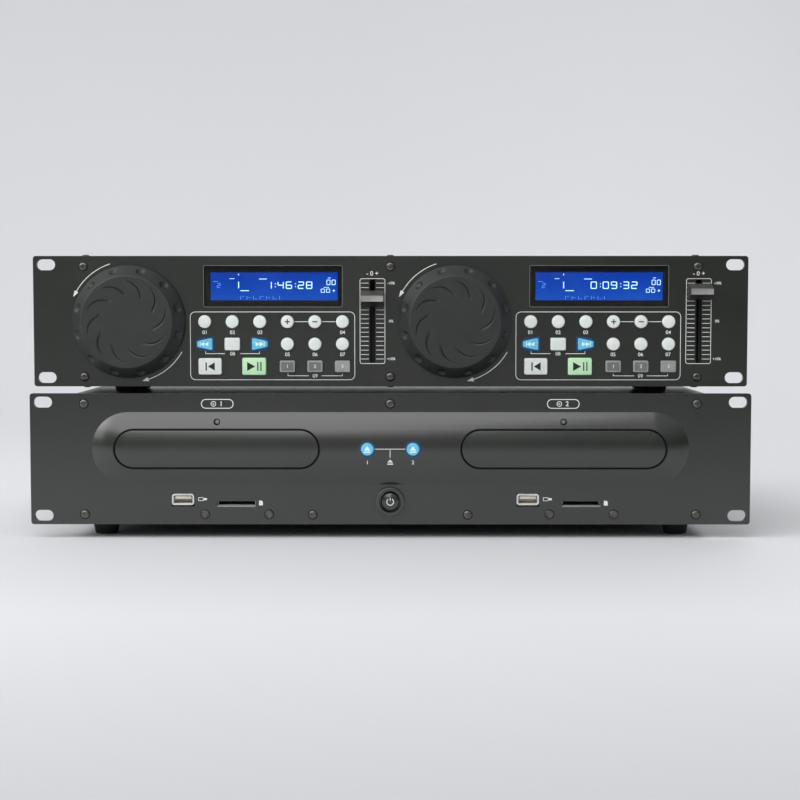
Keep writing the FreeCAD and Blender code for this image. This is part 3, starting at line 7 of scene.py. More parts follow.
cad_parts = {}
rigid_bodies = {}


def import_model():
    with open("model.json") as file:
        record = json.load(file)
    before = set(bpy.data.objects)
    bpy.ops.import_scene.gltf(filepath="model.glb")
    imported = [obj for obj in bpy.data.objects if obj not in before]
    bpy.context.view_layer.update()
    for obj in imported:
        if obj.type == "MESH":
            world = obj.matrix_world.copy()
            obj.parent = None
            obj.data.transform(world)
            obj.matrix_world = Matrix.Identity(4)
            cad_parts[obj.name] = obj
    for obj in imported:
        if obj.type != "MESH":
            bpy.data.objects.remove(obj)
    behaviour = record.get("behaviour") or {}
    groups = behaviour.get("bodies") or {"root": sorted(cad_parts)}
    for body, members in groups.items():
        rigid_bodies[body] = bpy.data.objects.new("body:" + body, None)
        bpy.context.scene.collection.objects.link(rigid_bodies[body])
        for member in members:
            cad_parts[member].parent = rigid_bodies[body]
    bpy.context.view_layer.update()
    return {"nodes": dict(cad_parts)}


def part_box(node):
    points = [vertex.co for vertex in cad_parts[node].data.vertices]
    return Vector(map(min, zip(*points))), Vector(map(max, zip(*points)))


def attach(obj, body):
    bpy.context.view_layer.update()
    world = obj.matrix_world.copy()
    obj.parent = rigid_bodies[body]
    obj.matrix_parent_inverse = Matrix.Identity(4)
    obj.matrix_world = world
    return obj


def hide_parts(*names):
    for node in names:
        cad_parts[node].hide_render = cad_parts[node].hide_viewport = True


bpy.ops.object.select_all(action="SELECT")
bpy.ops.object.delete()
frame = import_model()
mm = 0.001

# where the two front panels stand, read from the frame; from here on lengths are in mm
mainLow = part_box("main_panel")[0] / mm
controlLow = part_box("controller_panel")[0] / mm
bulge = {"z": mainLow.z + 51.2, "radius": 48.86, "rise": 6.5}
mainFront, mainFloor = mainLow.y + bulge["rise"], mainLow.z
controlFront, controlFloor = controlLow.y, controlLow.z
transport, control = "transport_unit", "control_unit"
decks = (("left", -1), ("right", 1))
mainDeckX, controlDeckX = 115.7, 110.1
ejectX, powerZ = 15.2, mainFloor + 15.5
jogPlace = {"x": -66.5, "z": controlFloor + 43.8}
faderX = 98


# shader nodes as expressions
class Wire:
    # one output of a node; + - * on it add Math nodes
    def __init__(self, tree, socket=None):
        self.tree = tree
        self.socket = socket

    def node(self, kind, settings=None, values=None, out=0):
        made = self.tree.nodes.new("ShaderNode" + kind)
        for name, value in (settings or {}).items():
            setattr(made, name, value)
        for name, value in (values or {}).items():
            if isinstance(value, Wire):
                self.tree.links.new(value.socket, made.inputs[name])
            else:
                made.inputs[name].default_value = value
        return Wire(self.tree, made.outputs[out])

    def calc(self, operation, first, second=0.0):
        return self.node("Math", {"operation": operation}, {0: first, 1: second})

    def __add__(self, other):
        return self.calc("ADD", self, other)

    def __radd__(self, other):
        return self.calc("ADD", other, self)

    def __sub__(self, other):
        return self.calc("SUBTRACT", self, other)

    def __rsub__(self, other):
        return self.calc("SUBTRACT", other, self)

    def __mul__(self, other):
        return self.calc("MULTIPLY", self, other)

    def __rmul__(self, other):
        return self.calc("MULTIPLY", other, self)

    def noise(self, size, detail, roughness=0.55):
        # size is the width of one blotch, in mm
        return self.node("TexNoise", None, {"Vector": self, "Scale": 1 / (size * mm), "Detail": detail,
                                            "Roughness": roughness})

    def between(self, low, high):
        # this value from low..high stretched to 0..1
        return self.node("MapRange", None, {"Value": self, "From Min": low, "From Max": high})

    def blend(self, first, second):
        # a colour between the two, by this value
        return self.node("Mix", {"data_type": "RGBA"}, {0: self, 6: first, 7: second}, 2)

    def axis(self, name):
        return self.node("SeparateXYZ", None, {0: self}, "XYZ".index(name))


def rgb(red, green, blue):
    # a colour as a screen shows it, 0 to 255, made linear
    def linear(value):
        value /= 255
        return value / 12.92 if value <= 0.04045 else ((value + 0.055) / 1.055) ** 2.4
    return (linear(red), linear(green), linear(blue), 1.0)


finishes = {}


class Finish:
    # a material: its shader's fixed values, and what varies over the surface
    def __init__(self, name, fixed):
        self.material = bpy.data.materials.new(name)
        self.material.use_nodes = True
        self.tree = self.material.node_tree
        self.shader = self.tree.nodes["Principled BSDF"]
        for socket, value in fixed.items():
            self.shader.inputs[socket].default_value = value
        self.place = Wire(self.tree).node("TexCoord", None, None, 3)
        finishes[name] = self

    def feed(self, socket, wire):
        self.tree.links.new(wire.socket, self.shader.inputs[socket])


def grained(name, dark, light, cloudSize, grainSize, rough, roughSpread, depth, fixed=None):
    # paint or moulded plastic: cloudy colour, uneven gloss and a fine grain
    finish = Finish(name, fixed or {})
    cloud = finish.place.noise(cloudSize, 2.0)
    grain = finish.place.noise(grainSize, 2.0, 0.6)
    spread = (cloud - 0.5) * 0.7 + (grain - 0.5) * 0.3
    finish.feed("Base Color", (spread + 0.5).between(0.3, 0.7).blend(rgb(*dark), rgb(*light)))
    finish.feed("Roughness", rough + spread * roughSpread)
    finish.feed("Normal", grain.node("Bump", None, {"Height": grain, "Distance": depth * mm}))


def glowing(red, green, blue, strength):
    return {"Emission Color": rgb(red, green, blue), "Emission Strength": strength}


# dark and light colour, blotch and grain size, roughness and its spread, grain depth, other sockets
finishTable = {
    "panelPaint": ((25, 28, 23), (32, 35, 29), 40, 0.45, 0.24, 0.08, 0.008, {"Specular IOR Level": 1.0}),
    "boxPaint": ((27, 28, 27), (36, 37, 35), 25, 0.6, 0.38, 0.12, 0.02),
    "jogPlastic": ((36, 39, 38), (43, 46, 45), 12, 0.25, 0.5, 0.08, 0.008),
    "trayPlastic": ((30, 31, 30), (38, 39, 37), 30, 0.3, 0.5, 0.1, 0.01),
    "footRubber": ((18, 18, 18), (28, 28, 28), 5, 0.4, 0.75, 0.15, 0.03),
    "blackPlastic": ((20, 20, 20), (27, 27, 26), 9, 0.3, 0.45, 0.1, 0.008),
    "blackInk": ((20, 20, 20), (27, 27, 26), 9, 0.3, 0.6, 0.1, 0.008),
    "faderGrey": ((58, 58, 55), (72, 72, 68), 9, 0.3, 0.45, 0.1, 0.008),
    # gapBlack is painted shade: the dark rings over the tray doors' edges and round the screw heads
    "gapBlack": ((5, 5, 5), (9, 9, 9), 9, 0.3, 0.8, 0.1, 0.008),
    "collarGloss": ((62, 64, 63), (76, 78, 77), 9, 0.3, 0.24, 0.1, 0.008, {"Metallic": 0.3}),
    "powerGloss": ((36, 38, 37), (44, 46, 45), 9, 0.3, 0.22, 0.1, 0.008, {"Specular IOR Level": 1.0}),
    "rimGlow": ((6, 40, 66), (10, 62, 96), 9, 0.3, 0.45, 0.1, 0.008, glowing(0, 110, 190, 0.15)),
    "displayBezel": ((10, 10, 11), (15, 15, 16), 9, 0.3, 0.3, 0.1, 0.008),
    "screwSteel": ((84, 84, 80), (120, 120, 115), 2, 0.3, 0.26, 0.15, 0.006, {"Metallic": 0.85}),
    "plateSteel": ((150, 150, 148), (190, 190, 187), 8, 0.3, 0.32, 0.15, 0.004, {"Metallic": 0.9}),
    "usbSilver": ((212, 212, 206), (240, 240, 235), 8, 0.3, 0.32, 0.15, 0.004, {"Metallic": 0.5}),
    "contactGold": ((190, 150, 70), (220, 182, 98), 8, 0.3, 0.32, 0.15, 0.004, {"Metallic": 0.9}),
    "slotLip": ((120, 124, 122), (142, 146, 144), 5, 0.2, 0.36, 0.1, 0.006),
    "crestSilver": ((146, 146, 142), (172, 172, 168), 5, 0.2, 0.36, 0.1, 0.006, {"Metallic": 0.2}),
    "whiteKey": ((220, 226, 222), (238, 243, 240), 4, 0.3, 0.4, 0.1, 0.006),
    "tongueWhite": ((208, 202, 188), (226, 220, 206), 4, 0.3, 0.4, 0.1, 0.006),
    "lampLens": ((120, 124, 120), (150, 154, 150), 4, 0.3, 0.2, 0.1, 0.006),
    "socketRed": ((150, 22, 20), (176, 32, 28), 4, 0.3, 0.4, 0.1, 0.006),
    "cyanKey": ((84, 172, 206), (134, 208, 230), 3, 0.3, 0.35, 0.1, 0.005, glowing(60, 170, 230, 0.12)),
    "greenKey": ((190, 230, 188), (208, 242, 206), 5, 0.3, 0.38, 0.1, 0.006, glowing(120, 230, 110, 0.06)),
    "greyKey": ((104, 106, 104), (122, 124, 122), 4, 0.3, 0.42, 0.1, 0.006),
    "paleKey": ((142, 145, 142), (162, 165, 162), 4, 0.3, 0.42, 0.1, 0.006),
    "printInk": ((232, 234, 228), (244, 246, 241), 3, 0.2, 0.6, 0.1, 0.004),
    "edgeGrey": ((98, 98, 90), (118, 118, 108), 3, 0.2, 0.6, 0.1, 0.004),
    "litInk": ((206, 240, 250), (226, 250, 255), 3, 0.2, 0.6, 0.1, 0.004, glowing(150, 230, 255, 0.12)),
    "boardGreen": ((20, 66, 36), (28, 84, 46), 9, 0.7, 0.4, 0.15, 0.01)}
for finishName, row in finishTable.items():
    grained(finishName, *row)
print("finishes made")


# modelling by hand, in code
def at(x, y, z):
    return Vector((x, y, z)) * mm


def mode(kind):
    bpy.ops.object.mode_set(mode=kind)


def pickAll():
    bpy.ops.mesh.select_all(action="SELECT")


def deselect():
    bpy.ops.object.select_all(action="DESELECT")


def pick(kind, test):
    # in edit mode: selects only the faces or edges that pass, by a face's middle and normal or an
    # edge's two ends
    bpy.ops.mesh.select_all(action="DESELECT")
    mesh = bmesh.from_edit_mesh(bpy.context.object.data)
    for part in getattr(mesh, kind):
        marks = (part.calc_center_median() / mm, part.normal) if kind == "faces" else (
            vert.co / mm for vert in part.verts)
        if test(*marks):
            part.select_set(True)
    bmesh.update_edit_mesh(bpy.context.object.data)


def pickFront():
    pick("faces", lambda middle, normal: normal.y < -0.9)


def extrude(move):
    bpy.ops.mesh.extrude_region_move(TRANSFORM_OT_translate={"value": move})


def inset(thickness):
    bpy.ops.mesh.inset(thickness=thickness * mm)


def only(*pieces):
    # these pieces selected, and nothing else
    deselect()
    for piece in pieces:
        piece.select_set(True)
    bpy.context.view_layer.objects.active = pieces[0]


def settle(piece):
    # puts the piece's place, turn and size into its mesh
    only(piece)
    bpy.ops.object.transform_apply(location=True, rotation=True, scale=True)
    return piece


def apply(piece, kind, **settings):
    only(piece)
    modifier = piece.modifiers.new(kind.title(), kind)
    for name, value in settings.items():
        setattr(modifier, name, value)
    bpy.ops.object.modifier_apply(modifier=modifier.name)
    return piece


def soften(piece, width, segments=2, angle=40):
    # rounds the sharp edges
    return apply(piece, "BEVEL", width=width * mm, segments=segments, limit_method="ANGLE",
                 angle_limit=math.radians(angle))


def smooth(piece, angle=35):
    only(piece)
    bpy.ops.object.shade_smooth_by_angle(angle=math.radians(angle))
    return piece


def block(name, size, centre):
    bpy.ops.mesh.primitive_cube_add(size=1, location=at(*centre))
    piece = bpy.context.object
    piece.name = name
    piece.scale = at(*size)
    return settle(piece)


def turned(name, profile, steps=64):
    # a lathe: profile points are radius and depth, spun about the front-to-back axis
    deselect()
    bpy.ops.mesh.primitive_plane_add(size=0.01)
    piece = bpy.context.object
    piece.name = name
    mode("EDIT")
    bpy.ops.mesh.merge(type="CENTER")
    here = at(*profile[0], 0)
    bpy.ops.transform.translate(value=here)
    for point in profile[1:]:
        there = at(*point, 0)
        extrude(there - here)
        here = there
    pickAll()
    bpy.ops.mesh.spin(steps=steps, angle=math.tau, center=(0, 0, 0), axis=(0, 1, 0))
    pickAll()
    bpy.ops.mesh.remove_doubles(threshold=0.002 * mm)
    bpy.ops.mesh.normals_make_consistent(inside=False)
    mode("OBJECT")
    return piece


def rounded(radius, depth, rounding, degrees):
    # points of a lathe profile round a corner, at these turns
    turns = [math.radians(turn) for turn in degrees]
    return [(radius + rounding * math.sin(turn), depth + rounding * (1 - math.cos(turn))) for turn in turns]


def copyTo(master, name, x, y, z, turn=None):
    # a copy with its own mesh, moved to its place
    piece = master.copy()
    piece.data = master.data.copy()
    piece.name = piece.data.name = name
    bpy.context.collection.objects.link(piece)
    piece.parent = None
    piece.matrix_world = Matrix.Translation(at(x, y, z)) @ (turn or Matrix())
    return settle(piece)


def joined(name, pieces):
    only(*pieces)
    if len(pieces) > 1:
        bpy.ops.object.join()
    piece = bpy.context.object
    piece.name = piece.data.name = name
    return piece


def remove(*pieces):
    for piece in pieces:
        bpy.data.objects.remove(piece)


def painted(piece, finish):
    piece.data.materials.clear()
    piece.data.materials.append(finishes[finish].material)
    return piece


def touchUp(piece, finish, test):
    # a second finish on the faces whose middle passes the test
    piece.data.materials.append(finishes[finish].material)
    last = len(piece.data.materials) - 1
    for face in piece.data.polygons:
        if test(face.center / mm):
            face.material_index = last


def fitted(piece, finish, body, slot, *nodes):
    # paints a piece, unless it is painted already, and lets it ride with its body
    if finish:
        painted(piece, finish)
    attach(piece, body)
    if nodes:
        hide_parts(*nodes)
    return piece


def camel(words):
    first, *rest = words.split("_")
    return first + "".join(word.title() for word in rest)


def merged(node):
    # a copy of a node's own shape as one closed mesh
    piece = copyTo(frame["nodes"][node], camel(node), 0, 0, 0)
    bpy.ops.mesh.customdata_custom_splitnormals_clear()
    mode("EDIT")
    pickAll()
    bpy.ops.mesh.remove_doubles(threshold=0.001 * mm)
    bpy.ops.mesh.dissolve_limited(angle_limit=math.radians(0.05))
    mode("OBJECT")
    return piece


def dressed(node, finish, body, slot, rounding=0.0, angle=35):
    # the node's shape with its edges rounded, and its flat faces kept flat
    piece = merged(node)
    if rounding:
        soften(piece, rounding, 3, 50)
    smooth(piece, angle)
    apply(piece, "WEIGHTED_NORMAL", keep_sharp=True, weight=80)
    return fitted(piece, finish, body, slot, node)


def byPart(node, rule):
    # takes a node's solids apart, gives each the finish for its box, and puts them together again
    only(merged(node))
    bpy.ops.mesh.separate(type="LOOSE")
    parts = []
    for part in list(bpy.context.selected_objects):
        corners = [vert.co / mm for vert in part.data.vertices]
        low, high = (Vector([best(corner[axis] for corner in corners) for axis in range(3)])
                     for best in (min, max))
        finish = rule(low, high)
        if finish:
            soften(part, 0.12, 2, 50)
            parts.append(painted(smooth(part), finish))
        else:
            remove(part)
    return joined(camel(node), parts)


# camera, lamps, backdrop; their lengths are in metres, but for the camera's place
cameraSet = {"lens": 71.76, "place": (10.27, -1191.9, 159.3), "down": 3.56, "turn": 0.2}
bpy.ops.object.camera_add(location=at(*cameraSet["place"]), rotation=(
    math.radians(90 - cameraSet["down"]), 0, math.radians(cameraSet["turn"])))
camera = bpy.context.object
camera.name = "camera"
camera.data.lens = cameraSet["lens"]
bpy.context.scene.camera = camera
bpy.context.scene.view_settings.view_transform = "Standard"

lamps = {"overhead": {"place": (-0.85, -1.2, 1.5), "wide": 2.9, "tall": 1.9, "power": 33},
         "leftFill": {"place": (-1.95, -0.95, 1.2), "wide": 1.1, "tall": 1.8, "power": 12},
         "rear": {"place": (0.7, 1.3, 1.3), "wide": 1.2, "tall": 0.8, "power": 6}}
for lampName, lamp in lamps.items():
    bpy.ops.object.light_add(type="AREA", location=lamp["place"])
    light = bpy.context.object
    light.name = lampName
    light.data.shape = "RECTANGLE"
    light.data.size = lamp["wide"]
    light.data.size_y = lamp["tall"]
    light.data.energy = lamp["power"]
    aim = Vector((0, 0, 0.1)) - light.location
    light.rotation_euler = aim.to_track_quat("-Z", "Y").to_euler()

sky = {"middle": rgb(154, 155, 156), "sides": rgb(24, 24, 25), "above": rgb(191, 193, 195),
       "seen": rgb(146, 147, 149), "shift": 0.06, "fade": (0.02, 0.34), "rise": (0.0, 0.5)}
world = bpy.data.worlds.new("studio")
bpy.context.scene.world = world
world.use_nodes = True
direction = Wire(world.node_tree).node("TexCoord")
aside = direction.axis("X") + sky["shift"]
aside = aside.calc("ABSOLUTE", aside).between(*sky["fade"]).blend(sky["middle"], sky["sides"])
skyColour = direction.axis("Z").between(*sky["rise"]).blend(aside, sky["above"])
# past the floor's edge the eye sees a tone like the painted shade on the far floor
skyColour = direction.node("LightPath").blend(skyColour, sky["seen"])
world.node_tree.links.new(skyColour.socket, world.node_tree.nodes["Background"].inputs["Color"])

floorSet = {"colour": rgb(226, 227, 229), "cloud": rgb(222, 223, 225), "far": rgb(150, 151, 153),
            "fade": (-0.4, -1.1), "wide": 8.0, "front": -3.0, "back": 1.6, "rise": 3.0, "bend": 0.8}
deselect()
bpy.ops.mesh.primitive_plane_add(size=1)
studioFloor = bpy.context.object
studioFloor.name = "studioFloor"
mode("EDIT")
bpy.ops.transform.resize(value=(floorSet["wide"], floorSet["back"] - floorSet["front"], 1))
bpy.ops.transform.translate(value=(0, (floorSet["back"] + floorSet["front"]) / 2, 0))
nearBack = 0.99 * floorSet["back"] / mm
pick("edges", lambda first, last: min(first.y, last.y) > nearBack)
extrude((0, 0, floorSet["rise"]))
pick("edges", lambda first, last: min(first.y, last.y) > nearBack and max(first.z, last.z) < 1)
bpy.ops.mesh.bevel(offset=floorSet["bend"], segments=12, affect="EDGES")
mode("OBJECT")
smooth(studioFloor, 60)
floorFinish = Finish("studioFloor", {"Roughness": 0.7})
floorPale = floorFinish.place.noise(600, 2.0).blend(floorSet["cloud"], floorSet["colour"])
# painted shade: the floor darkens further in front of the object, standing in for a dim room beyond the
# lamps, so the panels reflect dark there
floorFarShade = floorFinish.place.axis("Y").between(*floorSet["fade"])
floorFinish.feed("Base Color", floorFarShade.blend(floorPale, floorSet["far"]))
painted(studioFloor, "studioFloor")
print("studio set")


# front panels, boxes and what is inside them
mainPanel = dressed("main_panel", "panelPaint", transport, "panel", 0.5, 22.9)
dressed("controller_panel", "panelPaint", control, "panel", 0.5)
touchUp(mainPanel, "collarGloss", lambda middle: middle.y < mainFront - 0.02
        and math.hypot(middle.x, middle.z - powerZ) < 10)
# painted highlight: the lower lip of each card slot is painted light grey, where its chamfered edge catches
# the light from above
cardLip = {"x": 12.4, "halfWide": 13.2, "top": 12.9, "tall": 1.3}


def onCardLip(middle):
    across = min(abs(middle.x - sign * mainDeckX - cardLip["x"]) for side, sign in decks)
    below = cardLip["top"] - (middle.z - mainFloor)
    return across < cardLip["halfWide"] and 0 < below < cardLip["tall"] and middle.y > mainFront + 0.05


touchUp(mainPanel, "slotLip", onCardLip)
dressed("main_chassis", "boxPaint", transport, "sheet")
dressed("main_cover", "boxPaint", transport, "sheet")
dressed("controller_housing", "boxPaint", control, "sheet")
for side, sign in decks:
    tray = dressed(f"{side}_disc_tray", "trayPlastic", f"{side}_disc_tray", "tray", 0.2)
    touchUp(tray, "panelPaint", lambda middle: middle.y < mainFront - 0.9)
print("panels and boxes dressed")

# boards, sockets and switches behind the panels; socket places are x and height
rear = mainFront + 253
sockets = {"red": [(30, 62), (52, 62)], "white": [(30, 44), (52, 44)], "black": [(84, 62), (84, 44)],
           "inlet": (-165, 50), "pins": [(-7, -4), (7, -4), (0, 1)], "contact": 4.4}


def boardRule(low, high):
    # tells boards, lamps, metal cans and the rest apart by size and place; USB shells are made below
    size, middle = high - low, (low + high) / 2
    atPanel = low.y < mainFront + 0.5
    if min(size) < 1.7:
        return "boardGreen" if max(size) > 9 else "tongueWhite"
    if atPanel and size.z < 3.3:
        return "lampLens"
    if atPanel or (size.x < 12 and size.z < 2 and low.y < mainFront + 2):
        return None
    if abs(size.x - 26.4) < 1 or abs(size.y - 3) < 0.1 or abs(middle.y - mainFront - 166) < 3:
        return "plateSteel"
    return "blackPlastic"


def controlRule(low, high):
    size = high - low
    return "boardGreen" if min(size) < 1.7 and max(size) > 9 else "blackPlastic"


mainBoards = byPart("main_boards", boardRule)
touchUp(mainBoards, "contactGold", lambda middle: middle.y > rear - 1 and any(
    math.hypot(middle.x - x, middle.z - mainFloor - z) < sockets["contact"]
    for colour in ("red", "white", "black") for x, z in sockets[colour]))
touchUp(mainBoards, "plateSteel", lambda middle: rear - 15 < middle.y < rear and any(
    abs(middle.x - sockets["inlet"][0] - x) < 1.1
    and -0.1 < middle.z - mainFloor - sockets["inlet"][1] - z < 4.1 for x, z in sockets["pins"]))
fitted(mainBoards, None, transport, "boards", "main_boards")
fitted(byPart("control_boards", controlRule), None, control, "boards", "control_boards")

usb = {"x": -23.4, "z": 16.8, "rim": (15, 0.6, 7.6), "proud": 0.2, "corner": 1.7, "body": 0.9, "wall": 1.15,
       "mouth": 12, "deep": 13.2, "tongue": (10.9, 11.2, 1.84), "tonguePlace": (6.3, 1.2)}


def usbShellMesh():
    # a drawn shell: a rounded rim, the body pushed out of its back, the mouth pushed into its front
    shell = block("usbMaster", usb["rim"], (0, usb["rim"][1] / 2 - usb["proud"], 0))
    mode("EDIT")
    pick("edges", lambda first, last: abs(first.y - last.y) > 0.3)
    bpy.ops.mesh.bevel(offset=usb["corner"] * mm, segments=5, affect="EDGES")
    pick("faces", lambda middle, normal: normal.y > 0.9)
    inset(usb["body"])
    extrude(at(0, usb["deep"], 0))
    pickFront()
    inset(usb["wall"])
    extrude(at(0, usb["mouth"], 0))
    mode("OBJECT")
    return smooth(soften(shell, 0.12, 2, 50))


usbMaster = usbShellMesh()
usbShells, usbTongues = [], []
for side, sign in decks:
    x, z = sign * mainDeckX + usb["x"], mainFloor + usb["z"]
    usbShells.append(copyTo(usbMaster, "usbShell", x, mainFront, z))
    inward, up = usb["tonguePlace"]
    usbTongues.append(soften(block("usbTongue", usb["tongue"], (x, mainFront + inward, z + up)), 0.15))
remove(usbMaster)
fitted(joined("usbShells", usbShells), "usbSilver", transport, "boards")
fitted(smooth(joined("usbTongues", usbTongues)), "tongueWhite", transport, "boards")

# coloured rings round the audio sockets
ringProfile = [(4.3, 0), (6.3, 0), (6.3, 0.7), (6.0, 1.0), (4.6, 1.0), (4.3, 0.8), (4.3, 0)]
ringMaster = smooth(turned("ringMaster", ringProfile, 40), 40)
for colour, finish in (("red", "socketRed"), ("white", "tongueWhite"), ("black", "blackPlastic")):
    rings = [copyTo(ringMaster, "ring", x, rear + 0.02, mainFloor + z) for x, z in sockets[colour]]
    fitted(joined(colour + "Rings", rings), finish, transport, "boards")
remove(ringMaster)

for side, sign in decks:
    painted(frame["nodes"][f"{side}_turntable"], "blackPlastic")
    painted(frame["nodes"][f"{side}_laser_sled"], "greyKey")
painted(frame["nodes"]["loader_frames"], "blackPlastic")
print("boards and sockets made")


# jog wheels
jog = {"faceRadius": 31.5, "baseRadius": 38, "out": 12, "skirt": 2.4, "gap": 0.8, "rounding": 1.3,
       "grooves": 10, "grooveDeep": 0.85, "grooveWide": 7.5, "dimples": 12, "dimpleRadius": 3.9,
       "dimpleRing": 36.6, "dimpleLift": 2.4, "dimpleTilt": 0.55, "faceRings": 58, "sideRings": 26,
       "steps": 360, "spindle": [(6, 5), (3, 5), (3, 17), (0, 17)]}
# the sharp edge of a groove: radius and angle along it, from its inner tip to its outer
swirlLine = ((17.4, 129.5), (20.5, 137), (24, 146), (26, 154), (27.8, 165))


def swirlTwist(radius):
    # how far a ring of the face is turned, so that a line of its points lies along each sharp edge
    for (nearRadius, nearAngle), (farRadius, farAngle) in zip(swirlLine, swirlLine[1:]):
        if radius <= farRadius:
            part = max(0, radius - nearRadius) / (farRadius - nearRadius)
            return nearAngle + part * (farAngle - nearAngle) - swirlLine[-1][1]
    return 0.0


def grooveDepth(radius, offset):
    # offset is how far round the point is from the sharp edge, in degrees of one groove's share
    inner, outer = swirlLine[0][0], swirlLine[-1][0]
    along = (radius - inner) / (outer - inner)
    if not 0 < along < 1 or offset < 0.5:
        return 0.0
    across = (offset - 1) / (jog["grooveWide"] * (1.3 - 0.6 * along))
    if across >= 1:
        return 0.0
    return jog["grooveDeep"] * math.sin(math.pi * along) ** 0.5 * (1 - across) ** 2


def dimpled(point, angle):
    # pushes a point of the sloping side in to the ball of a fingertip, if one is near
    for step in range(jog["dimples"]):
        around = math.tau * (step + 0.5) / jog["dimples"]
        reach = point - Vector((jog["dimpleRing"] * math.cos(around), -jog["out"] / 2 - jog["dimpleLift"],
                                jog["dimpleRing"] * math.sin(around)))
        if reach.length < jog["dimpleRadius"]:
            inward = Vector((-math.cos(angle), jog["dimpleTilt"], -math.sin(angle))).normalized()
            along = reach.dot(inward)
            root = max(along * along - reach.length_squared + jog["dimpleRadius"] ** 2, 0)
            return point + inward * (math.sqrt(root) - along)
    return point


def jogWheelMesh():
    face, base, rounding, gap = (jog[word] for word in ("faceRadius", "baseRadius", "rounding", "gap"))
    flat, out = face - rounding, -jog["out"]
    sideEnd = -gap - jog["skirt"]
    profile = [(flat * step / jog["faceRings"], out) for step in range(jog["faceRings"])]
    profile += rounded(flat, out, rounding, range(0, 67, 11))
    start, end, rings = Vector(profile[-1]), Vector((base, sideEnd)), jog["sideRings"]
    profile += [start.lerp(end, step / rings) for step in range(1, rings + 1)]
    profile += [(base, sideEnd + 0.7), (base - 0.1, -gap - 0.3), (base - 0.4, -gap), (6, -gap),
                *jog["spindle"]]
    wheel = turned("jogMaster", profile, jog["steps"])
    for vert in wheel.data.vertices:
        point = vert.co / mm
        radius, angle = math.hypot(point.x, point.z), math.atan2(point.z, point.x)
        if point.y < out + 0.001 and 0.1 < radius < flat + 0.1:
            offset = round(swirlLine[-1][1] - math.degrees(angle), 3) % (360 / jog["grooves"])
            depth = grooveDepth(radius, offset)
            angle += math.radians(swirlTwist(radius))
            vert.co = at(radius * math.cos(angle), point.y + depth, radius * math.sin(angle))
        elif point.y < sideEnd + 0.001 and radius > face - 1:
            vert.co = dimpled(point, angle) * mm
    return smooth(wheel, 30)


jogMaster = jogWheelMesh()
for side, sign in decks:
    x, z = sign * controlDeckX + jogPlace["x"], jogPlace["z"]
    wheel = copyTo(jogMaster, f"{side}JogWheel", x, controlFront, z)
    fitted(wheel, "jogPlastic", f"{side}_jog_wheel", "jog", f"{side}_jog_wheel")
remove(jogMaster)
print("jog wheels turned")


# keys; the flange stops a key from falling out, and the plunger reaches its switch
keyRow = {"startX": -15.35, "pitch": 18.62, "upper": 43.8, "middle": 28.7, "lower": 13.6}
keyOut = 2.2
flange = {"back": 3.3, "thick": 1.2, "lip": 1.0, "plunger": 1.8, "reach": 3.5}
# turned caps: radius, how far they stand out, the wall's back, the plunger's reach, dome and rounding
turnedCaps = {"round": (4.35, keyOut, flange["back"], flange["reach"], 0.25, 0.6),
              "eject": (4.2, 0.76, 2.8, 6.5, 0.12, 0.5), "power": (6.2, 2.6, 3.3, 4.5, 0.9, 1.1)}


def turnedKey(kind):
    radius, out, wallBack, reach, dome, rounding = turnedCaps[kind]
    profile = [(0, -out), (radius * 0.35, -out + dome * 0.1), (radius * 0.65, -out + dome * 0.42),
               *rounded(radius - rounding, -out + dome, rounding, range(0, 91, 18))]
    lip, back, end = radius + flange["lip"], wallBack + flange["thick"], wallBack + flange["thick"] + reach
    profile += [(radius, wallBack), (lip, wallBack), (lip, back), (flange["plunger"], back),
                (flange["plunger"], end), (0, end)]
    return smooth(turned(kind + "Master", profile, 48), 50)


def blockKey(name, wide, tall, corner, edge=0.5):
    # a cap from the front face to the back of the panel, its flange and its plunger
    depth, start, plunger = keyOut + flange["back"], flange["back"] + flange["thick"], flange["plunger"]
    cap = block(name, (wide, depth, tall), (0, flange["back"] - depth / 2, 0))
    mode("EDIT")
    pick("edges", lambda first, last: abs(first.y - last.y) > 1)
    bpy.ops.mesh.bevel(offset=corner * mm, segments=5, affect="EDGES")
    mode("OBJECT")
    soften(cap, edge, 4, 60)
    lip = block("lip", (wide + 2 * flange["lip"], flange["thick"], tall + 2 * flange["lip"]),
                (0, flange["back"] + flange["thick"] / 2, 0))
    soften(lip, 0.3, 2)
    end = start + flange["reach"]
    stem = turned("stem", [(0, start), (plunger, start), (plunger, end), (0, end)], 24)
    return smooth(joined(name, [cap, lip, stem]), 35)


def skipKey(name, point):
    # broad inner end, narrow rounded outer end
    wide = 10.4
    key = blockKey(name, wide, 8.2, 1.2)
    for vert in key.data.vertices:
        if abs(vert.co.z) > 2 * mm:
            outward = point * vert.co.x / mm / wide + 0.5
            vert.co.z *= 1 - 0.55 * max(0.0, min(1.0, outward)) ** 1.3
    return key


# each key's kind, its column or its x, and its row
keyKinds = {
    "source": ("round", 0, "upper"), "mode": ("round", 1, "upper"), "single": ("round", 2, "upper"),
    "plus": ("round", 3, "upper"), "minus": ("round", 4, "upper"), "pitch": ("round", 5, "upper"),
    "skip_back": ("skipBack", 0, "middle"), "folder": ("square", 1, "middle"),
    "skip_forward": ("skipForward", 2, "middle"), "reverse": ("round", 3, "middle"),
    "tap": ("round", 4, "middle"), "time": ("round", 5, "middle"), "cue": ("cue", -11.8, "lower"),
    "play": ("play", 18.0, "lower"), "loop_in": ("loop", 3, "lower"), "loop_out": ("loop", 4, "lower"),
    "reloop": ("loop", 5, "lower")}
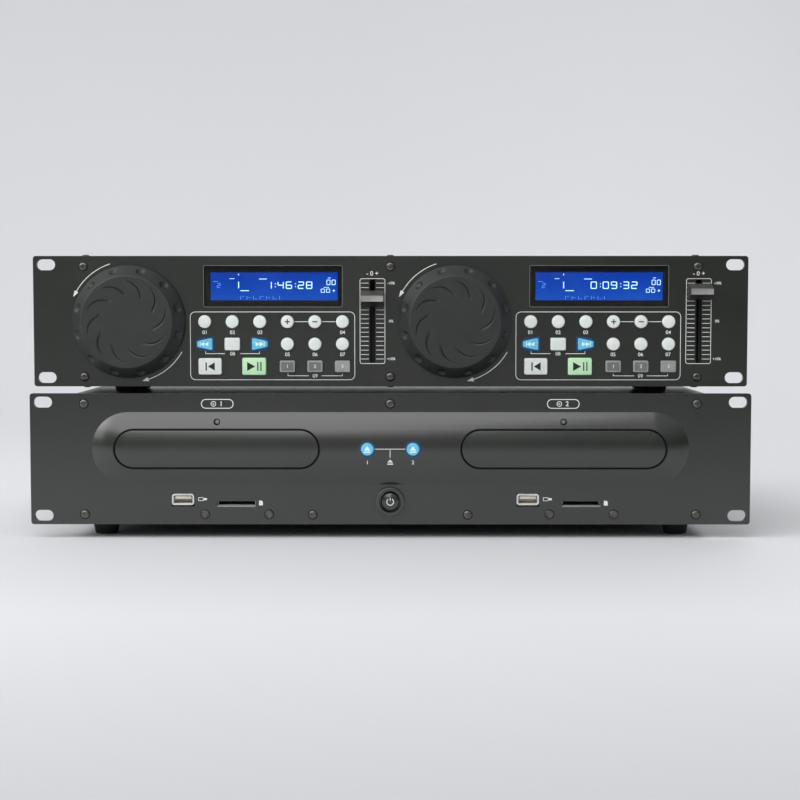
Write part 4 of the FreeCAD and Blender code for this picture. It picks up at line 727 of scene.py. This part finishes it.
# each kind's shape, finish and slot
keyLooks = {
    "round": (turnedKey("round"), "whiteKey", "white_key"),
    "skipBack": (skipKey("skipBackMaster", -1), "cyanKey", "blue_key"),
    "skipForward": (skipKey("skipForwardMaster", 1), "cyanKey", "blue_key"),
    "square": (blockKey("squareMaster", 10.3, 8.5, 1.0), "whiteKey", "white_key"),
    "cue": (blockKey("cueMaster", 15.6, 11.2, 1.2), "whiteKey", "white_key"),
    "play": (blockKey("playMaster", 16.0, 11.6, 1.2), "greenKey", "green_key"),
    "loop": (blockKey("loopMaster", 10.3, 7.9, 0.8, 0.4), "paleKey", "grey_key")}


def keyPlace(sign, keyName):
    kind, column, row = keyKinds[keyName]
    along = keyRow["startX"] + column * keyRow["pitch"] if isinstance(column, int) else column
    return sign * controlDeckX + along, controlFloor + keyRow[row]


for side, sign in decks:
    for keyName, (kind, column, row) in keyKinds.items():
        master, finish, slot = keyLooks[kind]
        x, z = keyPlace(sign, keyName)
        body = f"{side}_{keyName}_button"
        fitted(copyTo(master, f"{side}_{keyName}_key", x, controlFront, z), finish, body, slot, body)
remove(*(look[0] for look in keyLooks.values()))

ejectMaster = turnedKey("eject")
for side, sign in decks:
    key = copyTo(ejectMaster, f"{side}EjectKey", sign * ejectX, mainLow.y, bulge["z"])
    fitted(key, "cyanKey", f"{side}_eject_button", "blue_key", f"{side}_eject_button")
powerMaster = turnedKey("power")
key = copyTo(powerMaster, "powerKey", 0, mainFront, powerZ)
fitted(key, "powerGloss", "power_button", "collar", "power_button")
remove(ejectMaster, powerMaster)
print("keys made")


# pitch faders; rest is how far each cap stands above the middle of its slot
faderCap = {"wide": 15.5, "tall": 10.8, "crest": 3.8, "out": 14, "foot": 1.2, "slope": 2 / 3, "slotZ": 44.2,
            "rest": {"left": 15.1, "right": 19.8}, "blade": (1.6, 12.2, 5), "bladeBack": 4.9,
            "silverDeep": 1.2, "darkBelow": 1.95}


def faderMesh():
    out, foot, slope = faderCap["out"], faderCap["foot"], at(0, faderCap["out"] * faderCap["slope"], 0)
    cap = block("faderMaster", (faderCap["wide"], out - foot, faderCap["tall"]), (0, -(out + foot) / 2, 0))
    mode("EDIT")
    # a flat foot, then slopes to the crest
    pickFront()
    bpy.ops.transform.translate(value=slope)
    extrude(-slope)
    bpy.ops.transform.resize(value=(0.97, 1, faderCap["crest"] / faderCap["tall"]))
    # a narrow ledge round the crest
    inset(0.25)
    extrude(at(0, 0.3, 0))
    mode("OBJECT")
    soften(cap, 0.25, 3, 30)
    blade = block("faderBlade", faderCap["blade"], (0, faderCap["bladeBack"], 0))
    return smooth(joined("faderMaster", [cap, blade]), 30)


faderMaster = faderMesh()
for side, sign in decks:
    z = controlFloor + faderCap["slotZ"] + faderCap["rest"][side]
    fader = copyTo(faderMaster, f"{side}PitchFader", sign * controlDeckX + faderX, controlFront, z)
    fitted(fader, "faderGrey", f"{side}_pitch_fader", "fader", f"{side}_pitch_fader")
    silver = controlFront - faderCap["out"] + faderCap["silverDeep"]
    touchUp(fader, "crestSilver", lambda middle: middle.y < silver)
    # painted shade: the cap's lower slope is painted black for the shadow it lies in; the cap is one grey
    # plastic all round
    touchUp(fader, "blackPlastic", lambda middle: middle.z < z - faderCap["darkBelow"])
remove(faderMaster)
print("faders made")


# screws and feet; places on a panel are x and height, the sides' and the lid's are measured from the front
lidX = (-207.3, 0, 207.3)
screws = {"main": [(-205, 81.2), (205, 81.2), (0, 81.2), (-205, 6.7), (205, 6.7), (-52, 6.5), (52, 6.5)],
          "socket": [(sign * mainDeckX + x, 6.8) for side, sign in decks for x in (-8.8, 34.3)],
          "control": [(x, z) for x in lidX for z in (6.5, 81)], "radius": 2.8,
          "sideX": 215, "sideZ": mainFloor + 9, "sideY": (33, 128, 223),
          "lidY": 10, "lidZ": (controlFloor + 87.05, controlFloor + 1.05)}


def screwMesh(name, radius, out, ringed=False):
    # a domed or ringed head with a cross driven into it, and its shank
    shank = [(radius, 0), (1.4, 0), (1.4, 7), (0, 7)]
    domed = [(0, 1), (0.5, 0.97), (0.8, 0.8), (0.96, 0.42)]
    rimmed = [(0, 0.45), (0.66, 0.45), (0.72, 0.9), (0.9, 1), (1, 0.7)]
    profile = [(radius * across, -out * height) for across, height in (rimmed if ringed else domed)] + shank
    head = smooth(turned(name, profile, 40), 50)
    for wide, tall in ((1.15, 0.24), (0.24, 1.15)):
        cutter = block("crossCutter", (radius * wide, 1.4, radius * tall), (0, -out, 0))
        apply(head, "BOOLEAN", object=cutter, operation="DIFFERENCE", solver="EXACT")
        remove(cutter)
    return smooth(head, 40)


flatScrew = screwMesh("flatScrew", screws["radius"], 1.0)
ringScrew = screwMesh("ringScrew", screws["radius"], 1.0, True)
panScrew = screwMesh("panScrew", 3.0, 2.2)
heads = [copyTo(flatScrew, "screw", x, mainFront, mainFloor + z) for x, z in screws["main"]]
heads += [copyTo(ringScrew, "screw", x, mainFront, mainFloor + z) for x, z in screws["socket"]]
for sign in (-1, 1):
    sideways = Matrix.Rotation(sign * math.pi / 2, 4, "Z")
    heads += [copyTo(panScrew, "screw", sign * screws["sideX"], mainFront + y, screws["sideZ"], sideways)
              for y in screws["sideY"]]
fitted(joined("transportScrews", heads), "screwSteel", transport, "screw", "main_screws")
heads = [copyTo(flatScrew, "screw", x, controlFront, controlFloor + z) for x, z in screws["control"]]
for x in lidX:
    for height, turn in zip(screws["lidZ"], (-1, 1)):
        upright = Matrix.Rotation(turn * math.pi / 2, 4, "X")
        heads.append(copyTo(panScrew, "screw", x, controlFront + screws["lidY"], height, upright))
fitted(joined("unitScrews", heads), "screwSteel", control, "screw", "controller_screws")
remove(flatScrew, ringScrew, panScrew)

controlFeet = [corner.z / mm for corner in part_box("controller_feet")]
# each unit's feet: x to either side, places from the front, and the heights of both ends
feet = {"radius": 9.5, "narrower": 1.7, "transport": (195.6, (27, 225), 0, mainFloor + 1),
        "unit": (181, (18, 66), *controlFeet)}


def footMesh(tall):
    # narrow end on the ground, a screw recess up its middle; depth here is height
    wide, low = feet["radius"], feet["radius"] - feet["narrower"]
    profile = [(0, 2.5), (3, 2.5), (3, 0.3), (3.3, 0), (low - 0.8, 0), (low - 0.2, 0.25), (low, 0.9),
               (wide - 0.25, tall - 1.2), (wide - 0.1, tall - 0.4), (wide - 0.3, tall), (0, tall)]
    foot = turned("footMaster", profile, 48)
    foot.rotation_euler = (math.pi / 2, 0, 0)
    return smooth(settle(foot), 40)


for unit, body, front, node in (("transport", transport, mainFront, "main_feet"),
                                ("unit", control, controlFront, "controller_feet")):
    reach, places, ground, top = feet[unit]
    master = footMesh(top - ground)
    copies = [copyTo(master, "foot", x, front + y, ground) for x in (-reach, reach) for y in places]
    fitted(joined(unit + "Feet", copies), "footRubber", body, "foot", node)
    remove(master)
print("screws and feet made")


# displays
display = {"windowX": 30.8, "windowZ": 67.7, "windowWide": 93.2, "windowTall": 27.4, "glassX": 31.2,
           "glassWide": 86.2, "glassTall": 18.9, "blue": rgb(28, 86, 196), "blueEdge": rgb(3, 58, 172),
           "smear": (rgb(30, 34, 40), rgb(40, 44, 50)), "readings": {"left": "1:46:28", "right": "0:09:32"}}

lcdFinish = Finish("displayGlass", {"Roughness": 0.3, "Emission Strength": 1.0, "Base Color": rgb(2, 8, 30),
                                    "Specular IOR Level": 0.1})
glow = lcdFinish.place.noise(34, 1.5) + lcdFinish.place.noise(1.4, 1.0) * 0.12 - 0.06
# partly painted shade: the lit glass gets darker towards its top, standing in for shade under the frame's top
# edge; the blotches are the backlight's own unevenness
height = lcdFinish.place.axis("Z").between((controlFloor + 77) * mm, (controlFloor + 58) * mm)
blue = (glow * 0.5 + height * 0.5).between(0.2, 0.85).blend(display["blueEdge"], display["blue"])
lcdFinish.feed("Emission Color", blue)
for finishName, strength, dark, light in (("displayGlyph", 1.15, (165, 215, 255), (200, 232, 255)),
                                          ("faintGlyph", 1.0, (50, 110, 225), (84, 146, 238))):
    glyphFinish = Finish(finishName, {"Roughness": 0.4, "Emission Strength": strength})
    glyph = glyphFinish.place.noise(6, 1.0).blend(rgb(*dark), rgb(*light))
    glyphFinish.feed("Base Color", glyph)
    glyphFinish.feed("Emission Color", glyph)
paneFinish = Finish("displayPane", {"Roughness": 0.08, "Alpha": 0.06})
paneFinish.feed("Base Color", paneFinish.place.noise(30, 2.0).blend(*display["smear"]))


def bezelMesh(name, x, z):
    # a frame round the lit glass: a block, inset from its front and sunk
    wide, tall, deep = display["windowWide"] + 8, display["windowTall"] + 6, 7
    bezel = block(name, (wide, deep, tall), (x, controlFront + 3 + deep / 2, z))
    mode("EDIT")
    pickFront()
    margin = (wide - display["glassWide"]) / 2
    inset(margin)
    bpy.ops.transform.resize(value=(1, 1, display["glassTall"] / (tall - 2 * margin)))
    bpy.ops.transform.translate(value=at(display["glassX"] - display["windowX"], 0, 0))
    extrude(at(0, 2, 0))
    mode("OBJECT")
    return smooth(soften(bezel, 0.2, 2))


# each segment's place across and up, and whether it lies flat
segmentPlaces = {"a": (0, 2, 1), "b": (1, 1, 0), "c": (1, -1, 0), "d": (0, -2, 1), "e": (-1, -1, 0),
                 "f": (-1, 1, 0), "g": (0, 0, 1)}
digitSegments = ("abcdef", "bc", "abged", "abgcd", "fgbc", "afgcd", "afgedc", "abc", "abcdefg", "abcdfg")
# from the glass's upper left corner: text, x, z, width, height, line and step of rows of figures; x, z,
# width and height of strokes
brightRows = (("00", 80, -6.8, 2.4, 3.6, 0.42, 3.5), ("00", 76.2, -12.4, 2.5, 2.6, 0.36, 3.5))
brightStrokes = ((83.6, -12.4, 1.6, 0.4), (83.6, -12.4, 0.4, 1.6), (19.1, -8.6, 0.6, 4.4),
                 (19.1, -1.5, 0.5, 1.1), (23.2, -12.4, 5.8, 0.5), (14.6, -4.3, 3.2, 0.35),
                 (35.6, -4.5, 5.2, 0.45), (80.6, -3.8, 1.9, 0.4), (78.6, -10.2, 3.6, 0.35))
dimRows = (("2", 5.6, -8.9, 2.2, 3.4, 0.4, 3),)
dimStrokes = ((3.4, -6.2, 3.2, 0.4), *((20.4 + 4.4 * step, -17.2, 0.35, 2.3) for step in range(7)),
              *((22.0 + 4.4 * step, -16.2 - 0.9 * (step % 3), 1.5, 0.3) for step in range(6)))


def strip(x, z, wide, tall):
    return block("strip", (wide, 0.12, tall), (x, controlFront + 4.16, z))


def textRow(text, x, z, wide, tall, thick, step):
    # seven-segment figures; a colon takes less than a full step
    pieces = []
    for letter in text:
        if letter == ":":
            pieces += [strip(x - 0.2 * step, z + up * tall * 0.2, thick, thick) for up in (1, -1)]
            x += 0.45 * step
            continue
        for segment in digitSegments[int(letter)]:
            across, up, flat = segmentPlaces[segment]
            size = (wide - thick, thick) if flat else (thick, tall / 2 - thick * 0.6)
            pieces.append(strip(x + across * (wide - thick * 0.5) / 2, z + up * (tall - thick) / 4, *size))
        x += step
    return pieces


for side, sign in decks:
    x, glassX = (sign * controlDeckX + display[part] for part in ("windowX", "glassX"))
    z = controlFloor + display["windowZ"]
    bezel = bezelMesh(f"{side}DisplayBezel", x, z)
    fitted(bezel, "displayBezel", control, "display", "display_modules")
    glass = block(f"{side}DisplayGlass", (display["glassWide"] - 0.1, 0.8, display["glassTall"] - 0.1),
                  (glassX, controlFront + 4.6, z))
    fitted(smooth(soften(glass, 0.1)), "displayGlass", control, "display")
    pane = block(f"{side}DisplayPane", (display["windowWide"] - 0.4, 1.6, display["windowTall"] - 0.4),
                 (x, controlFront + 2.2, z))
    fitted(smooth(soften(pane, 0.3, 3)), "displayPane", control, "display")
    left, top = glassX - display["glassWide"] / 2, z + display["glassTall"] / 2
    reading = (display["readings"][side], 39.5, -8.7, 3.9, 5.0, 0.6, 5.6)
    for name, finish, rows, strokes in (("Figures", "displayGlyph", (reading, *brightRows), brightStrokes),
                                        ("Marks", "faintGlyph", dimRows, dimStrokes)):
        pieces = []
        for text, across, up, *look in rows:
            pieces += textRow(text, left + across, top + up, *look)
        pieces += [strip(left + across, top + up, wide, tall) for across, up, wide, tall in strokes]
        fitted(joined(f"{side}Display{name}", pieces), finish, control, "display")
print("displays made")


# printing on the panels and keys
ink = {"thick": 0.06, "number": 3.5, "line": 0.42, "proud": 0.02}


def inkBar(x, z, wide, tall):
    return block("inkBar", (wide, ink["thick"], tall), (x, 0, z))


def stood(piece, x, y, z):
    # turns what was drawn lying down to face the front, at its place
    piece.rotation_euler = (math.pi / 2, 0, 0)
    piece.location = at(x, y, z)
    return settle(piece)


def inkText(text, x, z, size):
    deselect()
    bpy.ops.object.text_add(location=(0, 0, 0))
    words = bpy.context.object.data
    words.body = text
    words.size = size * mm
    words.align_x = words.align_y = "CENTER"
    words.extrude = ink["thick"] / 2 * mm
    words.offset = 0.04 * mm
    bpy.ops.object.convert(target="MESH")
    return stood(bpy.context.object, x, 0, z)


def thickened(piece, x, z):
    # gives a flat outline the thickness of the print
    pickAll()
    extrude(at(0, 0, ink["thick"]))
    pickAll()
    bpy.ops.mesh.normals_make_consistent(inside=False)
    mode("OBJECT")
    return stood(piece, x, ink["thick"] / 2, z)


def inkRing(x, z, wide, tall, corner, line):
    # a rounded outline: a plane with its corners bevelled, inset, and its middle taken out
    deselect()
    bpy.ops.mesh.primitive_plane_add(size=1)
    ring = bpy.context.object
    ring.scale = (wide * mm, tall * mm, 1)
    settle(ring)
    mode("EDIT")
    pickAll()
    bpy.ops.mesh.bevel(offset=corner * mm, segments=max(8, round(corner * 2)), affect="VERTICES")
    pickAll()
    inset(line)
    bpy.ops.mesh.delete(type="FACE")
    return thickened(ring, x, z)


def inkShape(points, x=0, z=0):
    # a flat filled outline from points, drawn as a circle whose corners are moved to them
    deselect()
    bpy.ops.mesh.primitive_circle_add(vertices=len(points), radius=mm, fill_type="NGON")
    shape = bpy.context.object
    for vert, (across, up) in zip(shape.data.vertices, points):
        vert.co = at(across, up, 0)
    mode("EDIT")
    return thickened(shape, x, z)


def triangle(x, z, wide, tall, point):
    reach = point * wide / 2
    return inkShape([(-reach, -tall / 2), (reach, 0), (-reach, tall / 2)], x, z)


def inkArc(x, z, radius, start, end, line, steps=24):
    turns = [math.radians(start + (end - start) * step / steps) for step in range(steps + 1)]
    outer, inner = ([(reach * math.cos(turn), reach * math.sin(turn)) for turn in turns]
                    for reach in (radius, radius - line))
    return inkShape(outer + inner[::-1], x, z)


def arrowhead(x, z, direction, length, wide):
    # its tip points along direction, in degrees
    turn = math.radians(direction)
    along, across = Vector((math.cos(turn), math.sin(turn))), Vector((-math.sin(turn), math.cos(turn)))
    return inkShape([along * length, across * wide / 2, -across * wide / 2], x, z)


def drawn(rows, x, z):
    # rows of x, z, width and height make bars; a fifth number points a triangle right or left
    return [(triangle if len(row) > 4 else inkBar)(x + row[0], z + row[1], *row[2:]) for row in rows]


def onBulge(z):
    radius = bulge["radius"]
    return mainLow.y + radius - math.sqrt(radius ** 2 - (z - bulge["z"]) ** 2)


def printed(name, pieces, finish, body, surface, slot="panel", proud=ink["proud"]):
    # joins flat print and lays it just proud of a surface, which is a depth or a curve over height
    piece = joined(name, pieces)
    for vert in piece.data.vertices:
        depth = surface(vert.co.z / mm) if callable(surface) else surface
        vert.co.y += (depth + ink["thick"] / 2 - proud) * mm
    return fitted(piece, finish, body, slot)


# transport panel: a numbered disc in a pill over each tray, a plug and a card outline by the sockets
cardOutline = [(27.6, 12.8), (30.2, 12.8), (30.2, 15.2), (29.4, 16.0), (27.6, 16.0)]
prints = []
for number, (side, sign) in enumerate(decks, start=1):
    x, z = sign * mainDeckX, mainFloor
    prints += [inkRing(x + across, z + up, *look) for across, up, *look in (
        (0, 81.1, 21.7, 6.4, 3.1, 0.5), (-2.6, 81.1, 3.6, 3.6, 1.75, 0.45),
        (-2.6, 81.1, 1.2, 1.2, 0.55, 0.3), (-11.4, 17.0, 3.6, 2.4, 0.3, 0.35))]
    prints += [inkText(str(number), x + 2.6, z + 81.0, 4.6), inkBar(x - 8.4, z + 17.0, 2.0, 1.4),
               inkShape(cardOutline, x, z)]
printed("transportPrint", prints, "printInk", transport, mainFront)

# the bulge: the line between the eject keys, their numbers and sign, the door seams darkened with painted
# shade, and dark lines round the keys
prints = drawn([(-6.1, 0.1, 8.4, 0.4), (0, 0.1, 3.8, 0.4), (6.1, 0.1, 8.4, 0.4), (0, -10.0, 3.8, 0.8)]
               + [(0, -1.2 - 1.3 * step, 0.4, 1.3) for step in range(4)], 0, bulge["z"])
prints += [inkText("1", -ejectX, bulge["z"] - 9.0, 3.6), inkText("2", ejectX, bulge["z"] - 9.0, 3.6),
           inkShape([(-1.9, -8.9), (1.9, -8.9), (0, -6.9)], 0, bulge["z"])]
printed("bulgePrint", prints, "printInk", transport, onBulge)
# painted shade: a dark ring over each door's edge, the real gap between door and panel widened over the
# panel's rounded edge beside it
seamShade = {"halfRun": 55.45, "radius": 13.7, "line": 0.65}
seamShades = [inkRing(sign * mainDeckX, bulge["z"], 2 * (seamShade["halfRun"] + seamShade["radius"]), 2 * seamShade["radius"],
                 seamShade["radius"] - 0.01, seamShade["line"]) for side, sign in decks]
printed("traySeams", seamShades, "gapBlack", transport, onBulge)
rims = [inkRing(sign * ejectX, bulge["z"], 10.9, 10.9, 5.4, 0.9) for side, sign in decks]
printed("ejectRims", rims, "rimGlow", transport, onBulge)

# painted shade: a dark ring round each screw head, standing in for the shadow at its countersunk edge
for name, places, floor, body, front in (
        ("screwShades", screws["main"] + screws["socket"], mainFloor, transport, mainFront),
        ("unitScrewShades", screws["control"], controlFloor, control, controlFront)):
    shades = [inkRing(x, floor + z, 6.7, 6.7, 3.34, 0.5) for x, z in places]
    printed(name, shades, "gapBlack", body, front)

# controller panel
skipRim = [(-6.3, -5.1), (3.5, -4.2), (6.2, -2.0), (6.2, 2.0), (3.5, 4.2), (-6.3, 5.1)]
scale = {"z": 44.15, "wide": 17.2, "tall": 57.7, "low": 18.6, "travel": 51.2, "gaps": 17,
         "numbers": (("-10%", 69.7), ("0%", 44.1), ("+10%", 18.6))}
for side, sign in decks:
    deck, z = sign * controlDeckX, controlFloor
    upper, middle, lower = (z + keyRow[row] for row in ("upper", "middle", "lower"))
    columns = [deck + keyRow["startX"] + step * keyRow["pitch"] for step in range(6)]
    line = ink["line"]
    prints = [inkRing(deck + 30.4, z + 27.45, 111.6, 46.3, 3.6, 0.4)]
    prints += [inkBar((columns[first] + columns[first + 1]) / 2, upper, keyRow["pitch"] - 9.6, line)
               for first in (3, 4)]
    numbers = ((upper - 7.3, {0: "01", 1: "02", 2: "03", 5: "04"}), (middle - 6.6, {1: "08"}),
               (middle - 7.1, {3: "05", 4: "06", 5: "07"}), (lower - 6.5, {4: "09"}))
    prints += [inkText(number, columns[step], height, ink["number"]) for height, places in numbers
               for step, number in places.items()]
    # brackets that tie the skip keys and the loop keys together
    for end in (-1, 1):
        prints += drawn([(end * 18.2, -5.6, line, 1.38), (end * 11.8, -6.5, 13.2, line)], columns[1], middle)
        prints += drawn([(end * 18.4, -5.55, line, 1.28), (end * 11.4, -6.4, 14.4, line)], columns[4], lower)
    # fader scale
    x = deck + faderX
    prints.append(inkRing(x, z + scale["z"], scale["wide"], scale["tall"], 1.6, 0.38))
    prints += [inkBar(x + end * 5.15, z + scale["low"] + scale["travel"] * step / scale["gaps"], 5.2, 0.34)
               for step in range(scale["gaps"] + 1) for end in (-1, 1)]
    prints += [inkText(number, x + 12.6, z + up, 2.5) for number, up in scale["numbers"]]
    prints.append(inkText("- 0 +", x, z + 76.2, 4.2))
    # turning arrows round the jog wheel
    x, jogZ = deck + jogPlace["x"], jogPlace["z"]
    for start, end, tip, direction in ((108, 150, 150, 238), (-72, -30, -72, 196)):
        turn = math.radians(tip)
        prints += [inkArc(x, jogZ, 41.2, start, end, 0.5),
                   arrowhead(x + 40.9 * math.cos(turn), jogZ + 40.9 * math.sin(turn), direction, 4.4, 2.9)]
    printed(f"{side}ControlPrint", prints, "printInk", control, controlFront)
    # painted highlight: a light grey line round each display window stands in for the light caught by the
    # opening's chamfered edge
    wide, tall = display["windowWide"] + 0.9, display["windowTall"] + 0.9
    edge = inkRing(deck + display["windowX"], z + display["windowZ"], wide, tall, 1.3, 0.4)
    printed(f"{side}WindowEdgeHighlight", [edge], "edgeGrey", control, controlFront)
    rims = [inkShape([(point * across, up) for across, up in skipRim], *keyPlace(sign, keyName))
            for keyName, point in (("skip_back", -1), ("skip_forward", 1))]
    printed(f"{side}SkipRims", rims, "rimGlow", control, controlFront, proud=0.01)
print("panels printed")

# marks on the keys, each riding with its key
keyMarks = {"plus": [(0, 0, 3.4, 0.75), (0, 1.04, 0.75, 1.33), (0, -1.04, 0.75, 1.33)],
            "minus": [(0, 0, 3.4, 0.75)],
            "skip_back": [(-1.5, 0, 2.6, 3.0, -1), (1.2, 0, 2.6, 3.0, -1), (-3.0, 0, 0.5, 3.0)],
            "skip_forward": [(-1.5, 0, 2.6, 3.0, 1), (1.2, 0, 2.6, 3.0, 1), (3.0, 0, 0.5, 3.0)],
            "cue": [(0.9, 0, 4.6, 5.6, -1), (-2.6, 0, 0.9, 5.6)],
            "play": [(-2.0, 0, 5.4, 6.0, 1), (2.5, 0, 0.8, 6.0), (4.6, 0, 0.8, 6.0)]}
loopField = [(4.1, -2.4), (4.1, 2.4), (3.6, 2.9), (-3.6, 2.9), (-4.1, 2.4), (-4.1, -2.4), (-3.6, -2.9),
             (3.6, -2.9)]
keyFront = controlFront - keyOut


def keyMark(side, keyName, kind, pieces, finish, front=keyFront):
    slot = keyLooks[keyKinds[keyName][0]][2] if keyName in keyKinds else "blue_key"
    printed(camel(f"{side}_{keyName}") + kind, pieces, finish, f"{side}_{keyName}_button", front, slot)


for side, sign in decks:
    for keyName, rows in keyMarks.items():
        finish = "litInk" if "skip" in keyName else "blackInk"
        keyMark(side, keyName, "Mark", drawn(rows, *keyPlace(sign, keyName)), finish)
    for number, keyName in enumerate(("loop_in", "loop_out", "reloop"), start=1):
        x, z = keyPlace(sign, keyName)
        keyMark(side, keyName, "Field", [inkShape(loopField, x, z)], "paleKey" if number == 3 else "greyKey")
        keyMark(side, keyName, "Mark", [inkText(str(number), x, z, 3.2)], "printInk", keyFront - ink["thick"])
    x, z = sign * ejectX, bulge["z"]
    mark = [inkShape([(-2.1, -0.8), (2.1, -0.8), (0, 2.2)], x, z), inkBar(x, z - 1.8, 4.2, 0.8)]
    keyMark(side, "eject", "Mark", mark, "litInk", mainLow.y - turnedCaps["eject"][1])
powerMark = [inkArc(0, powerZ, 2.5, 125, 415, 0.5, 36), inkBar(0, powerZ + 1.4, 0.5, 2.6)]
printed("powerMark", powerMark, "printInk", "power_button", mainFront - 2.55, "collar")
print("keys marked")
